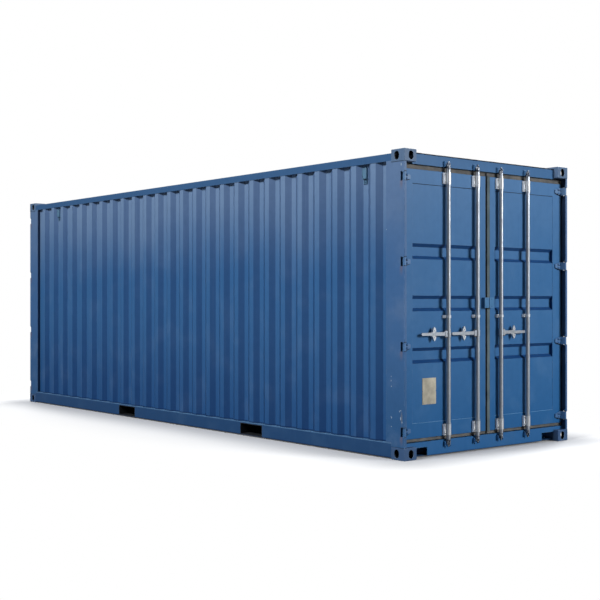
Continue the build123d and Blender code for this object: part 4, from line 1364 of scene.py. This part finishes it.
box_rivets = [
    Matrix.Translation((BOX_HIGH.x, (BOX_LOW.y + BOX_HIGH.y) / 2, level))
    for level in (BOX_LOW.z + BOX_MARGIN, BOX_HIGH.z - BOX_MARGIN)
]
tag_rivets = [
    Matrix.Translation((TAG_HIGH.x, y, z)) @ Matrix.Scale(0.7, 4)
    for y in (TAG_LOW.y + TAG_MARGIN, TAG_HIGH.y - TAG_MARGIN)
    for z in (TAG_LOW.z + TAG_MARGIN, (TAG_LOW.z + TAG_HIGH.z) / 2, TAG_HIGH.z - TAG_MARGIN)
]
blade_bolts = [
    Matrix.Translation((BLADE_FACE, y, level + rise))
    for level in HINGE_LEVELS
    for y, rise in BLADE_BOLTS
]
on_leaves(bolt, "door_bolts", leaf_bolts(), "galvanised_steel")
on_leaves(rivet, "box_rivets", box_rivets, "door_paint", rear=False)
settle(copies(rivet, "plate_rivets", tag_rivets), "left_door", "plate_metal")
on_leaves(bolt, "blade_bolts", blade_bolts, "door_paint")
discard(bolt)
discard(rivet)

# %% [markdown]
# The handle is held in its hub by an upright pin with a domed head at each end,
# and an oval slot for a seal is let into the face of the lever, its dark colour a
# painted shade for the depth of the hole. Both turn with their own bar, so each
# rides on the body of that bar.

# %% Handle pins and seal slots
HANDLE_LEVEL = 1.166
BAR_X = HALF_LENGTH - 0.030
PIN_Y = -BAR_PLACES[0] - 0.040
SLOT_Y = -BAR_PLACES[0] - 0.196
PIN_RADIUS = 0.0055
PIN_LENGTH = 0.066
SLOT_SIZE = (0.003, 0.036, 0.012)


def hub_pin():
    pin = begin("hub_pin", "cylinder", vertices=12, radius=PIN_RADIUS, depth=PIN_LENGTH,
                location=(BAR_X, PIN_Y, HANDLE_LEVEL))
    edit(pin)
    for end in (-1, 1):
        pick_faces(pin, lambda c, n, end=end: n.z * end > 0.9)
        bpy.ops.mesh.extrude_region_move(TRANSFORM_OT_translate={"value": (0, 0, 0.001 * end)})
        bpy.ops.transform.resize(value=(1.5, 1.5, 1), center_override=(BAR_X, PIN_Y, 0))
        bpy.ops.mesh.extrude_region_move(TRANSFORM_OT_translate={"value": (0, 0, 0.003 * end)})
        step_in(0.0025, (0, 0, 0.0012 * end))
    return leave(pin)


def seal_slot():
    """The oval slot, let a little into the face of the lever, its dark colour a painted shade for
    the depth of the hole.
    """
    slot = begin("seal_slot", "cube", SLOT_SIZE, size=1,
                 location=(BAR_X + 0.0042, SLOT_Y, HANDLE_LEVEL))
    edit(slot)
    pick_edges(slot, lambda a, b: abs(a.x - b.x) > 0.002)
    bpy.ops.mesh.bevel(offset=0.0055, segments=5)
    pick_faces(slot, lambda c, n: n.x > 0.9)
    step_in(0.0015, (-0.0012, 0, 0))
    return leave(slot)


pin = hub_pin()
slot = seal_slot()
inward = Matrix.Translation((0, BAR_PLACES[0] - BAR_PLACES[1], 0))
PIN_PLACES = {
    "left_outer_bar": [IN_PLACE],
    "left_inner_bar": [inward],
    "right_inner_bar": [MIRROR_SIDE @ inward],
    "root": [MIRROR_END @ turn for turn in (IN_PLACE, inward, MIRROR_SIDE, MIRROR_SIDE @ inward)],
}
for body, places in PIN_PLACES.items():
    settle(copies(pin, f"{body}_handle_pin", places), body, "pin_steel")
    settle(copies(slot, f"{body}_seal_slot", places), body, "dark_sealant_and_shade")
discard(pin)
discard(slot)

# %% [markdown]
# The box of the imported model was measured at the start, and the box of the
# dressed one is measured here.

# %% Measure the sizes and finish
low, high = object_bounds()
